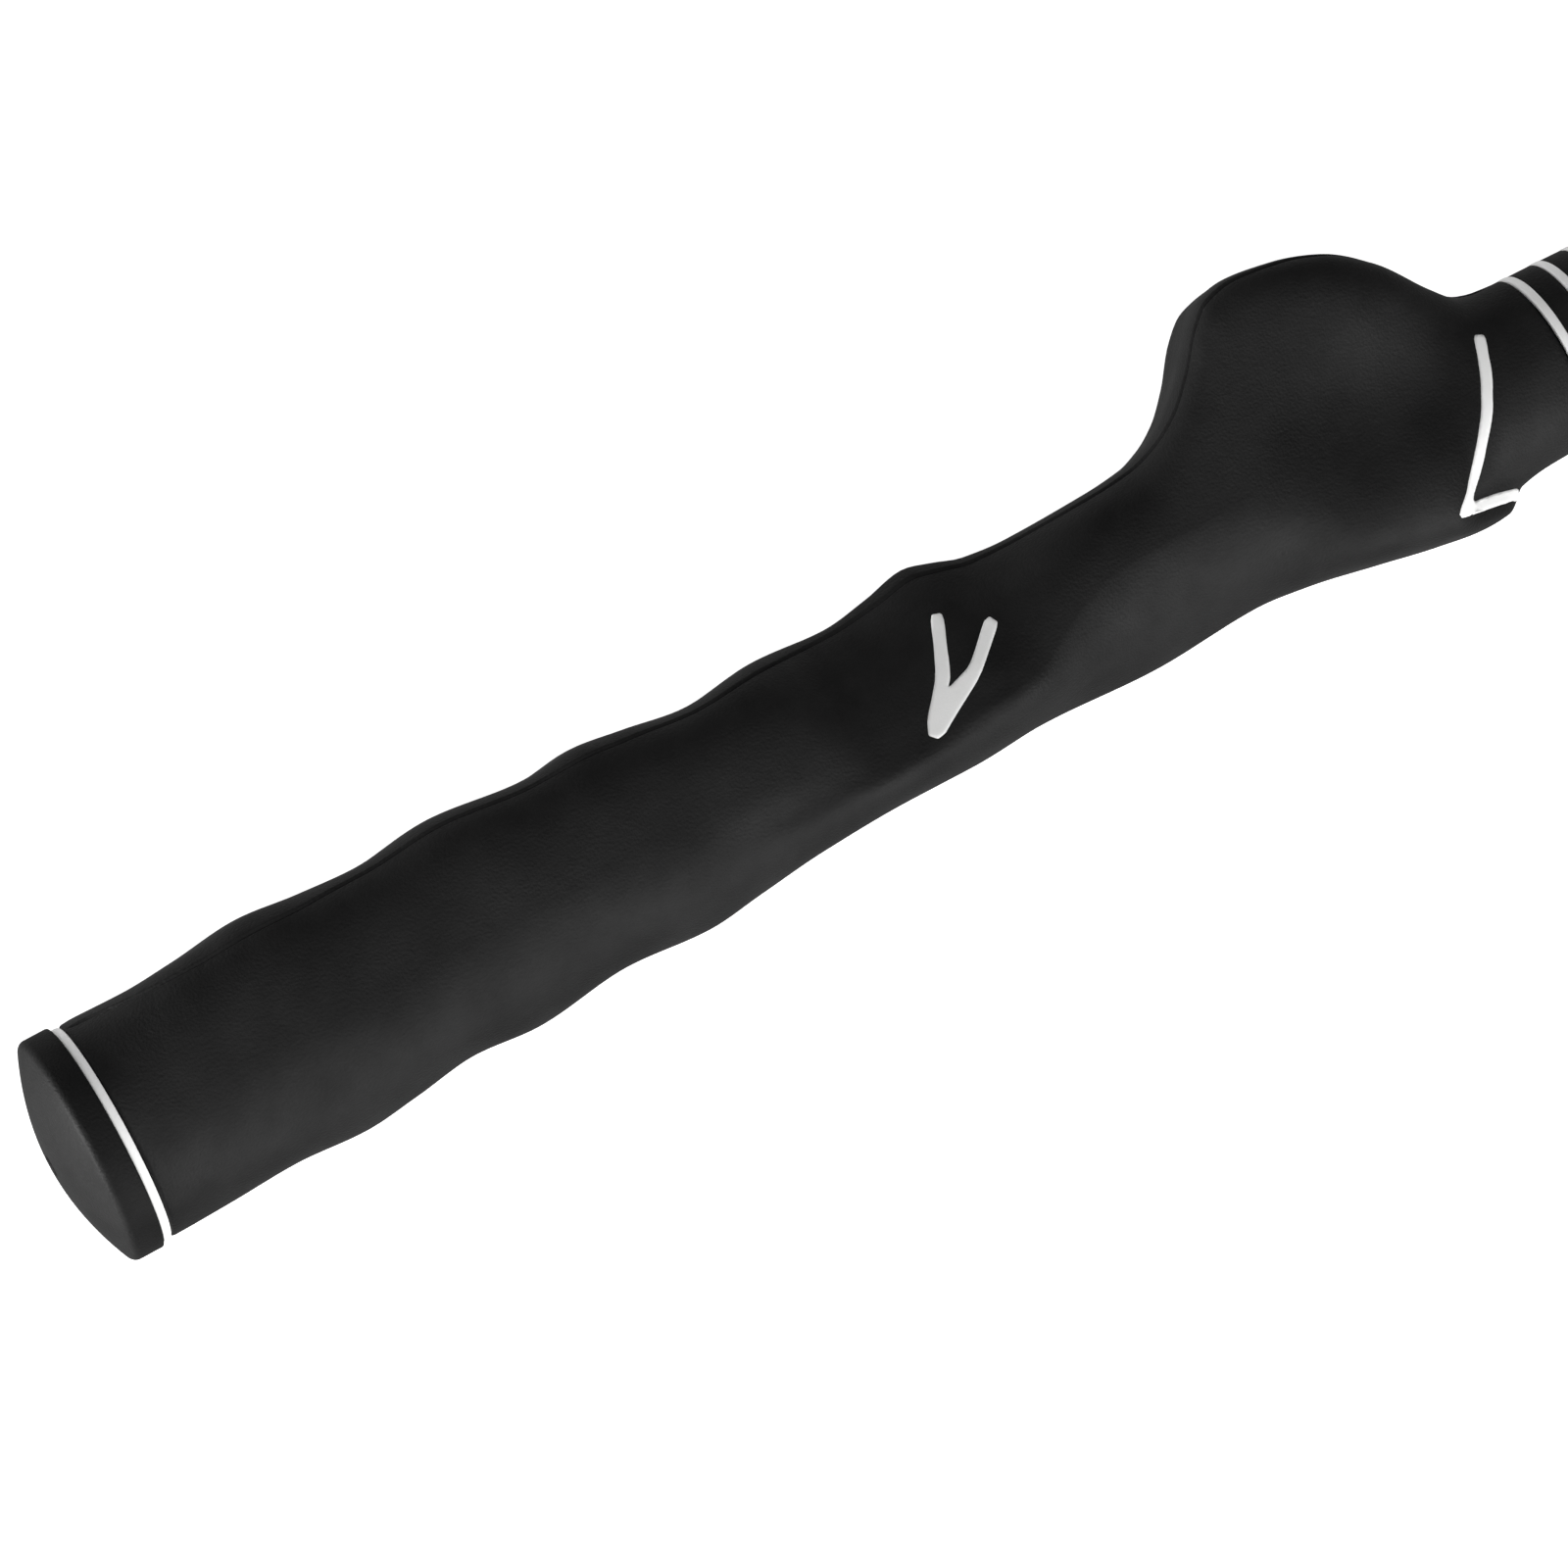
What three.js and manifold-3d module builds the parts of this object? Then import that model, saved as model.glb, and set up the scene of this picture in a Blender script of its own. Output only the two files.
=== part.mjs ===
// A short weighted golf swing trainer: a moulded two-hand training grip on a stepped steel shaft,
// with a weight at the tip. Millimetres, +Z up.
//
// The model is built along its own axis: s runs along the shaft from the butt end to the tip (+X),
// t is sideways (+Y, the side of the thumb paddle) and z is up (+Z, the face that the thumbs lie on).
// The group at the end moves it so that the origin is below the middle, on the ground.
import * as THREE from 'three';
import { mergeVertices } from 'three/addons/utils/BufferGeometryUtils.js';
import Module from 'manifold-3d';

const wasm = await Module();
wasm.setup();

// ---------------------------------------------------------------- driving dimensions

const LENGTH = 630;
const DOME_RISE = 0.8;
const TIP_END = LENGTH - DOME_RISE;
const GRIP_LENGTH = 267;
const CAP_RADIUS = 15.8;
const SHAFT_RADIUS = 7.6;
const SHAFT_WALL = 0.7;
const TIP_RADIUS = 6.35;
const FIT = 0.2;

const SIDES = 34;
const FACE_CROWDING = 1.6;
const ROUND_SIDES = 24;
const BAR_SIDES = 16;

// ---------------------------------------------------------------- colours and finishes

const FINISHES = {
  grip_rubber: { color: 0x17181a, roughness: 0.62, metalness: 0 },
  cap_rubber: { color: 0x1b1c1e, roughness: 0.66, metalness: 0 },
  mark_rubber: { color: 0xf1f1ee, roughness: 0.5, metalness: 0 },
  chrome: { color: 0xc9ccd0, roughness: 0.12, metalness: 1 },
  steel: { color: 0x9a9da1, roughness: 0.34, metalness: 1 },
  black_plastic: { color: 0x131415, roughness: 0.3, metalness: 0 },
  bumper_rubber: { color: 0x202123, roughness: 0.7, metalness: 0 },
  dark_screw: { color: 0x2b2c2e, roughness: 0.4, metalness: 0.8 },
  tape: { color: 0xd9cfae, roughness: 0.8, metalness: 0 },
};

// ---------------------------------------------------------------- grip profiles
// Each profile is a list of [s, value]; its points are the crests, the valleys and the ends
// of the curve, and a monotone cubic joins them.

// Edge on the paddle side: finger crests and valleys, then the paddle, then the neck.
const TOP_EDGE = [
  [8.5, 15.3], [17, 15.2], [25, 15.7], [34.5, 16.65], [43, 15.8], [51, 15.25], [62, 16.35], [76, 15],
  [83, 15.7], [90, 14.8], [99.5, 13.4], [110, 14.45], [121, 13.65], [128, 14.6], [134, 15.8],
  [138, 14.8], [142, 13.5], [148, 12.95], [160, 13.3], [166, 13.9], [170, 15.2], [174, 17.6],
  [178, 21.5], [182, 26.4], [185, 28.7], [189, 29.5], [196, 28.6], [202, 26.6], [208, 22.8],
  [214, 16.5], [218, 13.2], [221, 12.5], [232, 12.2], [GRIP_LENGTH, 10.6],
];

// Edge on the other side, as a distance from the axis: crests, valleys, then the heel ledge.
const HEEL_EDGE = [
  [8.5, 15.2], [17, 15], [27, 14.6], [37, 15.2], [45, 14.4], [54, 13.3], [63, 14], [77, 12.65],
  [89, 13.5], [97, 12.65], [107, 11.6], [119, 11.1], [130, 11.2], [141, 10.65], [158, 11.4],
  [174, 10.6], [182, 11.4], [192, 13.3], [200, 14.9], [207, 15.8], [210, 15.6], [211.8, 14.6],
  [213.5, 13.2], [219, 12.45], [232, 12.1], [GRIP_LENGTH, 10.6],
];

// Height of the face above the axis.
const FACE = [
  [8.5, 15.2], [20, 14.9], [40, 14.6], [62, 14.4], [86, 13.9], [110, 13.2], [132, 13.4], [150, 12.9],
  [170, 12.6], [190, 12.9], [200, 12.9], [211, 12.8], [222, 11.9], [232, 11.8], [GRIP_LENGTH, 10.6],
];

// Depth of the back below the axis, with a crest between each pair of fingers. The deepest
// crest, below the paddle, touches the ground with the cap and the weight.
const BACK = [
  [8.5, 15.2], [20, 14.3], [33, 15.4], [47, 14], [61, 15.2], [74, 13.6], [86, 14.8], [98, 13],
  [110, 14.2], [122, 13.1], [134, 14.6], [146, 12.8], [158, 14.3], [171, 13.2], [188, CAP_RADIUS],
  [203, 14], [212, 13.4], [219, 12.4], [232, 12.1], [GRIP_LENGTH, 10.6],
];

// How square each quarter of the section is: 2 is an ellipse.
const SQUARE_FACE_TOP = [
  [8.5, 2], [24, 3.2], [60, 3.4], [102, 3.1], [110, 2.4], [118, 1.5], [136, 1.4], [146, 1.8],
  [158, 2.4], [166, 2.6], [176, 4.5], [186, 6.5], [200, 6.5], [208, 4], [219, 2], [GRIP_LENGTH, 2],
];
const SQUARE_FACE_HEEL = [
  [8.5, 2], [24, 2.1], [92, 2.1], [112, 3], [134, 2.6], [146, 1.6], [166, 1.5], [176, 2.2], [188, 3.8],
  [204, 3.6], [213, 2.5], [219, 2], [GRIP_LENGTH, 2],
];
const SQUARE_BACK = [
  [8.5, 2], [40, 2.1], [165, 2.2], [188, 2.7], [204, 2.4], [219, 2], [GRIP_LENGTH, 2],
];

// Sideways place of the back's deepest line: it moves over as the paddle grows.
const MIDDLE_BACK = [[8.5, 0], [168, 0], [186, 6], [200, 5], [216, 0], [GRIP_LENGTH, 0]];

// Sideways place of the face's crest. Between the hands it swings over to the heel side and
// makes the thumb ridge: the face slopes away from it to both edges there.
const MIDDLE_FACE = [
  [8.5, 0], [102, 0], [108, -2.5], [114, -6.5], [118, -7.6], [124, -7.2], [132, -5.8], [141, -4.2],
  [150, 0.4], [158, 2.6], [168, 2.6], [186, 4], [200, 3], [216, 0], [GRIP_LENGTH, 0],
];

// Round hollows (negative) and swellings (positive) on the face: centre, half-widths and height.
const FACE_RELIEF = [
  { s: 46, t: -4, along: 6, across: 6, height: 0.45 },
  { s: 69, t: -2, along: 5, across: 5, height: 0.3 },
  { s: 28, t: -10, along: 5, across: 4, height: -0.35 },
  { s: 104, t: -5.4, along: 4.5, across: 1.6, height: -0.6 },
  { s: 118, t: -7.4, along: 9, across: 1, height: 0.35 },
  { s: 134, t: -5.6, along: 8, across: 1, height: 0.25 },
  { s: 126, t: -11, along: 14, across: 2, height: -1.6 },
  { s: 177, t: -8, along: 5, across: 3, height: -0.9 },
  { s: 203, t: 6, along: 12, across: 8, height: -3.1 },
  { s: 205, t: 21, along: 9, across: 6, height: 1.4 },
];
// The groove for the forefinger on the back of the paddle.
const BACK_RELIEF = { s: 200, t: 20, along: 9, across: 7, height: 4.5 };

// Where the paddle stops and the neck starts follows a vee over the face.
const VEE = { from: 20, corner: 143, to: 176, reach: 8, fade: [196, 206] };

// ---------------------------------------------------------------- small maths

function smooth(low, high, value) {
  const k = Math.min(1, Math.max(0, (value - low) / (high - low)));
  return k * k * (3 - 2 * k);
}

function bell(a, b) {
  return Math.exp(-(a * a + b * b) / 2);
}

// Monotone cubic through [x, y] points: flat at every crest and valley, no overshoot.
function profile(points, x) {
  const last = points.length - 1;
  if (x <= points[0][0]) return points[0][1];
  if (x >= points[last][0]) return points[last][1];
  let i = 0;
  while (x > points[i + 1][0]) i += 1;
  const slope = (k) => (points[k + 1][1] - points[k][1]) / (points[k + 1][0] - points[k][0]);
  const tangent = (k) => {
    if (k === 0 || k === last) return 0;
    const before = slope(k - 1);
    const after = slope(k);
    return before * after <= 0 ? 0 : (2 * before * after) / (before + after);
  };
  const width = points[i + 1][0] - points[i][0];
  const k = (x - points[i][0]) / width;
  const k2 = k * k;
  const k3 = k2 * k;
  return (2 * k3 - 3 * k2 + 1) * points[i][1] + (k3 - 2 * k2 + k) * width * tangent(i)
    + (3 * k2 - 2 * k3) * points[i + 1][1] + (k3 - k2) * width * tangent(i + 1);
}

// ---------------------------------------------------------------- grip surface

// Height added to the face at (s, t): slight swellings by the fingers, and the paddle's dish.
function faceRelief(s, t) {
  let height = 0;
  for (const spot of FACE_RELIEF) {
    height += spot.height * bell((s - spot.s) / spot.along, (t - spot.t) / spot.across);
  }
  return height;
}

// How far ahead the profiles are read at an angle on the face, which bends the paddle's end to a vee.
function veeShift(s, degrees) {
  const rise = smooth(VEE.from, VEE.corner, degrees);
  const drop = 1 - smooth(VEE.corner, VEE.to, degrees);
  return VEE.reach * Math.min(rise, drop) * smooth(...VEE.fade, s);
}

// Point of the grip's outside at s and angle u, where u is 0 at the paddle edge and 90 degrees on the face.
function gripPoint(s, u) {
  const c = Math.cos(u);
  const d = Math.sin(u);
  const at = s + (d > 0 ? veeShift(s, THREE.MathUtils.radToDeg(u)) : 0);
  const middle = profile(d > 0 ? MIDDLE_FACE : MIDDLE_BACK, at);
  const reach = c >= 0 ? profile(TOP_EDGE, at) - middle : profile(HEEL_EDGE, at) + middle;
  const height = d >= 0 ? profile(FACE, at) : profile(BACK, at);
  let square = profile(SQUARE_BACK, at);
  if (d >= 0) square = profile(c >= 0 ? SQUARE_FACE_TOP : SQUARE_FACE_HEEL, at);
  const t = middle + Math.sign(c) * reach * Math.abs(c) ** (2 / square);
  let z = Math.sign(d) * height * Math.abs(d) ** (2 / square);
  const onFace = d >= 0 ? 1 - (1 - d) ** 4 : 0;
  z += onFace * faceRelief(s, t);
  if (d < 0) {
    const spot = BACK_RELIEF;
    z += d * d * spot.height * bell((s - spot.s) / spot.along, (t - spot.t) / spot.across);
  }
  return new THREE.Vector3(s, t, z);
}

// ---------------------------------------------------------------- mesh helpers

// Closed solid from a list of rings of equal count, the first joined back to the last.
function ringSolid(rings) {
  const count = rings[0].length;
  const positions = rings.flat().flatMap((p) => [p.x, p.y, p.z]);
  const index = [];
  rings.forEach((ring, i) => {
    const next = ((i + 1) % rings.length) * count;
    for (let j = 0; j < count; j += 1) {
      const k = (j + 1) % count;
      index.push(i * count + j, i * count + k, next + k);
      index.push(i * count + j, next + k, next + j);
    }
  });
  const geometry = new THREE.BufferGeometry();
  geometry.setAttribute('position', new THREE.Float32BufferAttribute(positions, 3));
  geometry.setIndex(index);
  return geometry;
}

// Solid of revolution about the shaft's axis, from [s, radius] points.
function turned(points, sides = ROUND_SIDES) {
  const outline = points.map(([s, radius]) => new THREE.Vector2(radius, s));
  const geometry = new THREE.LatheGeometry(outline, sides);
  geometry.rotateZ(-Math.PI / 2);
  return geometry;
}

// Ring or tube of plain rectangular section about the axis.
function tube(from, to, inner, outer, sides = ROUND_SIDES) {
  return turned([[from, inner], [from, outer], [to, outer], [to, inner], [from, inner]], sides);
}

// Solid bar about the axis with a small chamfer at both ends.
function bar(from, to, radius, chamfer) {
  return turned([
    [from, 0], [from, radius - chamfer], [from + chamfer, radius],
    [to - chamfer, radius], [to, radius - chamfer], [to, 0],
  ], BAR_SIDES);
}

function toSolid(geometry) {
  const bare = geometry.clone();
  bare.deleteAttribute('normal');
  bare.deleteAttribute('uv');
  const merged = mergeVertices(bare, 1e-4);
  const triVerts = new Uint32Array(merged.index.array);
  const vertProperties = new Float32Array(merged.attributes.position.array);
  return new wasm.Manifold(new wasm.Mesh({ numProp: 3, vertProperties, triVerts }));
}

function toGeometry(solid) {
  const mesh = solid.getMesh();
  const geometry = new THREE.BufferGeometry();
  geometry.setAttribute('position', new THREE.Float32BufferAttribute(mesh.vertProperties, 3));
  geometry.setIndex(Array.from(mesh.triVerts));
  return geometry;
}

// ---------------------------------------------------------------- grip sleeve

const SLEEVE_START = 8.5;
const SPIGOT_RADIUS = 12.2;
const SPIGOT_END = 11;
const BORE_RADIUS = SHAFT_RADIUS + 3 * FIT;

const MOUTH_RINGS = [225.1, 230, 234.7];
const MOUTH_RING = { width: 1.2, depth: 1.2, proud: 0.1 };

// Stations along the grip, with how far each is sunk below the surface.
function gripStations() {
  const stations = [];
  for (let s = SLEEVE_START; s < 160; s += 4.6) stations.push({ s, sink: 0 });
  for (let s = 160; s < 223; s += 2.7) stations.push({ s, sink: 0 });
  const half = MOUTH_RING.width / 2 + FIT / 2;
  for (const s of MOUTH_RINGS) {
    stations.push({ s: s - half, sink: 0 }, { s: s - half, sink: MOUTH_RING.depth });
    stations.push({ s: s + half, sink: MOUTH_RING.depth }, { s: s + half, sink: 0 });
  }
  stations.push({ s: 250, sink: 0 }, { s: GRIP_LENGTH - 1, sink: 0 }, { s: GRIP_LENGTH, sink: 1 });
  return stations;
}

function circle(s, radius) {
  return Array.from({ length: SIDES }, (_, j) => {
    const u = (2 * Math.PI * j) / SIDES;
    return new THREE.Vector3(s, radius * Math.cos(u), radius * Math.sin(u));
  });
}

// Angle of corner j of a ring: on the face the corners crowd towards the middle, to follow the dish.
function ringTurn(j) {
  const turn = (2 * Math.PI * j) / SIDES;
  if (turn >= Math.PI) return turn;
  const across = Math.cos(turn);
  return Math.acos(Math.sign(across) * Math.abs(across) ** FACE_CROWDING);
}

function gripRing({ s, sink }) {
  return Array.from({ length: SIDES }, (_, j) => {
    const point = gripPoint(s, ringTurn(j));
    const radius = Math.hypot(point.y, point.z);
    point.y *= 1 - sink / radius;
    point.z *= 1 - sink / radius;
    return point;
  });
}

// The grip's outer form without its bore, moved by a small vector.
function gripCore(shift) {
  const rings = gripStations().filter(({ sink }) => sink === 0).map(gripRing);
  const axis = (s) => Array.from({ length: SIDES }, () => new THREE.Vector3(s, 0, 0));
  const last = rings[rings.length - 1][0].x;
  const geometry = ringSolid([axis(SLEEVE_START), ...rings, axis(last)]);
  geometry.translate(shift.x, shift.y, shift.z);
  return toSolid(geometry);
}

function sleeveBlank() {
  const rings = gripStations().map(gripRing);
  rings.push(circle(GRIP_LENGTH, BORE_RADIUS));
  rings.push(circle(SPIGOT_END, BORE_RADIUS), circle(SPIGOT_END, SPIGOT_RADIUS + FIT));
  rings.push(circle(SLEEVE_START, SPIGOT_RADIUS + FIT));
  return ringSolid(rings);
}

// ---------------------------------------------------------------- hand marks

// Chevron for the upper hand: a thick stroke and a thin one that meet in a round foot, as [s, t].
const UPPER_MARK = [
  [133, 8.7], [134.2, 8.3], [130.3, 0.8], [129, -0.8], [133.4, 0.5], [138.3, 4.7], [139.1, 4.9],
  [139.5, 3.9], [133.6, -1], [127.5, -4.3], [125.8, -5.3], [124.7, -5.5], [124, -4.7],
  [124.9, -3], [129, 1.4],
];

const LOWER_MARK_LINE = [
  [215.9, 7.1], [213.7, 2], [211.2, -2.4], [206.5, -8.2], [202.4, -12.3], [208.4, -13], [212.2, -13.8],
];
const LOWER_MARK_WIDTH = 1.2;

const MARK_PROUD = 0.1;
const MARK_DEPTH = 0.8;
const MARK_CLEARANCE = 0.25;

// Outline grown outwards by a distance, each corner moved along the mean of its two sides' normals.
function grown(outline, distance) {
  const points = outline.map(([s, t]) => new THREE.Vector2(s, t));
  const turn = THREE.ShapeUtils.isClockWise(points) ? -1 : 1;
  return points.map((point, i) => {
    const before = points[(i + points.length - 1) % points.length];
    const after = points[(i + 1) % points.length];
    const one = point.clone().sub(before).normalize();
    const two = after.clone().sub(point).normalize();
    const normal = new THREE.Vector2(one.y + two.y, -one.x - two.x).normalize();
    const stretch = Math.max(0.5, normal.dot(new THREE.Vector2(one.y, -one.x)));
    const step = (turn * distance) / stretch;
    return [point.x + normal.x * step, point.y + normal.y * step];
  });
}

// Outline of a bent strip of even width about a line.
function strip(line, width) {
  const points = line.map(([s, t]) => new THREE.Vector2(s, t));
  const side = points.map((point, i) => {
    const before = points[Math.max(0, i - 1)];
    const after = points[Math.min(points.length - 1, i + 1)];
    const one = i === 0 ? after.clone().sub(point) : point.clone().sub(before);
    const two = i === points.length - 1 ? one.clone() : after.clone().sub(point);
    const n1 = new THREE.Vector2(-one.y, one.x).normalize();
    const n2 = new THREE.Vector2(-two.y, two.x).normalize();
    const normal = n1.clone().add(n2).normalize();
    return normal.multiplyScalar(width / 2 / Math.max(0.35, normal.dot(n1)));
  });
  const left = points.map((point, i) => [point.x + side[i].x, point.y + side[i].y]);
  const right = points.map((point, i) => [point.x - side[i].x, point.y - side[i].y]);
  return [...left, ...right.reverse()];
}

// Upright prism over an outline, from the axis up to above the face.
function prism(outline, low) {
  const shape = new THREE.Shape(outline.map(([s, t]) => new THREE.Vector2(s, t)));
  const geometry = new THREE.ExtrudeGeometry(shape, { depth: 20 - low, bevelEnabled: false });
  geometry.translate(0, 0, low);
  return toSolid(geometry);
}

// A mark and the cut that it sits in. lean is the direction in which the mark is thick.
function markSolids(outline, lean, low) {
  const outside = gripCore(lean.clone().multiplyScalar(MARK_PROUD));
  const inside = gripCore(lean.clone().multiplyScalar(MARK_PROUD - MARK_DEPTH));
  const floor = gripCore(lean.clone().multiplyScalar(-MARK_DEPTH - MARK_CLEARANCE));
  const mark = prism(outline, low).intersect(outside).subtract(inside);
  const cut = prism(grown(outline, MARK_CLEARANCE), low).subtract(floor);
  return { mark, cut };
}

// ---------------------------------------------------------------- butt end

const BUTT_RING = { from: 7.1, to: 8.3, outer: 15.25 };
const VENT_RADIUS = 1.5;
const DOME_DEPTH = 3.7;
const DOME_STEPS = 6;
const CAP_CORNER = 1.2;
const CORNER_STEPS = 3;

// The dome's place along the stick at a radius: it stands out at the middle.
function domeAt(radius) {
  return DOME_DEPTH * (radius / CAP_RADIUS) ** 2 - DOME_RISE;
}

// Outline of the cap's end from the vent hole over the dome and round the corner.
function capEnd() {
  const tilt = Math.atan((2 * DOME_DEPTH) / CAP_RADIUS);
  const core = CAP_RADIUS - CAP_CORNER;
  const rim = core + CAP_CORNER * Math.sin(tilt);
  const centre = domeAt(rim) + CAP_CORNER * Math.cos(tilt);
  const outline = [];
  for (let i = 0; i <= DOME_STEPS; i += 1) {
    const radius = VENT_RADIUS + ((rim - VENT_RADIUS) * i) / DOME_STEPS;
    outline.push([domeAt(radius), radius]);
  }
  for (let i = 1; i <= CORNER_STEPS; i += 1) {
    const turn = tilt + ((Math.PI / 2 - tilt) * i) / CORNER_STEPS;
    outline.push([centre - CAP_CORNER * Math.cos(turn), core + CAP_CORNER * Math.sin(turn)]);
  }
  return outline;
}

function buttCap() {
  const face = BUTT_RING.from - 0.1;
  const end = capEnd();
  return turned([
    ...end, [face - 0.3, CAP_RADIUS - 0.1], [face, CAP_RADIUS - 0.4],
    [face, SPIGOT_RADIUS], [SPIGOT_END - FIT, SPIGOT_RADIUS], [SPIGOT_END - FIT, VENT_RADIUS], end[0],
  ], 32);
}

// ---------------------------------------------------------------- shaft

const SHAFT_START = SPIGOT_END + FIT;
const SHAFT_END = 590;
const FIRST_STEP = 300;
const STEP_PITCH = 40;
const STEP_COUNT = 5;
const STEP_SLOPE = 2;

function shaftOutline() {
  const drop = (SHAFT_RADIUS - TIP_RADIUS) / STEP_COUNT;
  const outside = [[SHAFT_START, SHAFT_RADIUS]];
  for (let i = 0; i < STEP_COUNT; i += 1) {
    const s = FIRST_STEP + i * STEP_PITCH;
    outside.push([s, SHAFT_RADIUS - i * drop], [s + STEP_SLOPE, SHAFT_RADIUS - (i + 1) * drop]);
  }
  outside.push([SHAFT_END, TIP_RADIUS]);
  const inside = outside.map(([s, radius]) => [s, radius - SHAFT_WALL]).reverse();
  return [...outside, ...inside, outside[0]];
}

// ---------------------------------------------------------------- tip weight

const FERRULE = { from: 492, to: 512 };
const WEIGHT_START = FERRULE.to + FIT;
const WEIGHT_END = 612;
const WEIGHT_BORE = TIP_RADIUS + FIT;
const WEIGHT_BORE_END = SHAFT_END + 2;
const SEAT_RADIUS = 11.6;
const COVER = { from: 538, to: 598, ribs: 6, groove: 1.3 };
const TRIM_WIDTH = 5;
const TRIM_RADIUS = 14.6;
const SCREW_S = 523;
const SCREW_RADIUS = 2.5;
const END_HOLE_RADIUS = 3;
const END_HOLE_START = WEIGHT_BORE_END + 4;

function ferrule() {
  return turned([
    [FERRULE.from, TIP_RADIUS + FIT], [FERRULE.from, TIP_RADIUS + 0.9], [FERRULE.from + 9, 8.2],
    [FERRULE.to - 3, 9.6], [FERRULE.to, 9.9], [FERRULE.to, TIP_RADIUS + FIT],
    [FERRULE.from, TIP_RADIUS + FIT],
  ]);
}

function weightBody() {
  const seatFrom = COVER.from - TRIM_WIDTH - 2 * FIT;
  const seatTo = COVER.to + TRIM_WIDTH + 2 * FIT;
  const blank = toSolid(turned([
    [WEIGHT_START, WEIGHT_BORE], [WEIGHT_START, 9.6], [WEIGHT_START + 0.6, 10.2],
    [seatFrom - 6, 11.9], [seatFrom - 1, 13.6], [seatFrom, 13.6], [seatFrom, SEAT_RADIUS],
    [seatTo, SEAT_RADIUS], [seatTo, 13.6], [WEIGHT_END - 1, 13.6], [WEIGHT_END, 12.6],
    [WEIGHT_END, END_HOLE_RADIUS], [END_HOLE_START, END_HOLE_RADIUS], [END_HOLE_START, 0],
    [WEIGHT_BORE_END, 0], [WEIGHT_BORE_END, WEIGHT_BORE], [WEIGHT_START, WEIGHT_BORE],
  ]));
  return toGeometry(SCREW_TURNS.reduce((solid, turn) => solid.subtract(screwHole(turn)), blank));
}

function weightCover() {
  const pitch = (COVER.to - COVER.from) / COVER.ribs;
  const outline = [[COVER.from, SEAT_RADIUS + FIT]];
  for (let i = 0; i < COVER.ribs; i += 1) {
    const s = COVER.from + i * pitch;
    outline.push([s, CAP_RADIUS - COVER.groove], [s + 0.9, CAP_RADIUS]);
    outline.push([s + pitch - 1.6, CAP_RADIUS], [s + pitch - 0.7, CAP_RADIUS - COVER.groove]);
  }
  outline.push([COVER.to, CAP_RADIUS - COVER.groove], [COVER.to, SEAT_RADIUS + FIT], outline[0]);
  return turned(outline, 28);
}

// Turned trim ring beside the rubber cover, with rounded outer corners.
function trimRing(from) {
  const to = from + TRIM_WIDTH;
  const inner = SEAT_RADIUS + FIT;
  return turned([
    [from, inner], [from, TRIM_RADIUS - 0.9], [from + 0.9, TRIM_RADIUS], [to - 0.9, TRIM_RADIUS],
    [to, TRIM_RADIUS - 0.9], [to, inner], [from, inner],
  ]);
}

// ---------------------------------------------------------------- screws

const SCREW_TURNS = [Math.PI / 2, Math.PI];
const SCREW_LENGTH = 4.2;
const SOCKET = { radius: 1.4, depth: 2 };

// Puts a piece made along Z around the shaft at the screws' station.
function placedRadially(geometry, turn) {
  geometry.rotateX(turn - Math.PI / 2);
  geometry.translate(SCREW_S, 0, 0);
  return geometry;
}

function screwHole(turn) {
  const hole = new THREE.CylinderGeometry(SCREW_RADIUS + FIT, SCREW_RADIUS + FIT, 10, 20);
  hole.rotateX(Math.PI / 2);
  hole.translate(0, 0, WEIGHT_BORE + 4.6);
  return toSolid(placedRadially(hole, turn));
}

// Socket set screw: a stub with a six-sided recess in its outer end.
function setScrew(turn) {
  const stub = new THREE.CylinderGeometry(SCREW_RADIUS, SCREW_RADIUS, SCREW_LENGTH, 20);
  const recess = new THREE.CylinderGeometry(SOCKET.radius, SOCKET.radius, 2 * SOCKET.depth, 6);
  recess.translate(0, SCREW_LENGTH / 2, 0);
  const screw = toGeometry(toSolid(stub).subtract(toSolid(recess)));
  screw.rotateX(Math.PI / 2);
  screw.translate(0, 0, WEIGHT_BORE + FIT + SCREW_LENGTH / 2);
  return placedRadially(screw, turn);
}

// ---------------------------------------------------------------- end bumper

const BUMPER = { from: WEIGHT_END + FIT, radius: 13.4, flat: 11, well: 6, wellFloor: 622 };
const WASHER = { thickness: 1, outer: 5.6, inner: 3.2 };
const HEAD = { height: 3, radius: 4.9 };
const END_SCREW_RADIUS = END_HOLE_RADIUS - FIT;
const END_SCREW_REACH = 9;

function endBumper() {
  return turned([
    [BUMPER.from, END_HOLE_RADIUS + FIT], [BUMPER.from, BUMPER.radius], [TIP_END - 7, BUMPER.radius],
    [TIP_END - 3.2, BUMPER.radius - 0.4], [TIP_END - 1, BUMPER.radius - 1.2], [TIP_END, BUMPER.flat],
    [TIP_END, BUMPER.well], [BUMPER.wellFloor, BUMPER.well], [BUMPER.wellFloor, END_HOLE_RADIUS + FIT],
    [BUMPER.from, END_HOLE_RADIUS + FIT],
  ]);
}

function endWasher() {
  const from = BUMPER.wellFloor + FIT;
  return tube(from, from + WASHER.thickness, WASHER.inner, WASHER.outer, 28);
}

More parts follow.
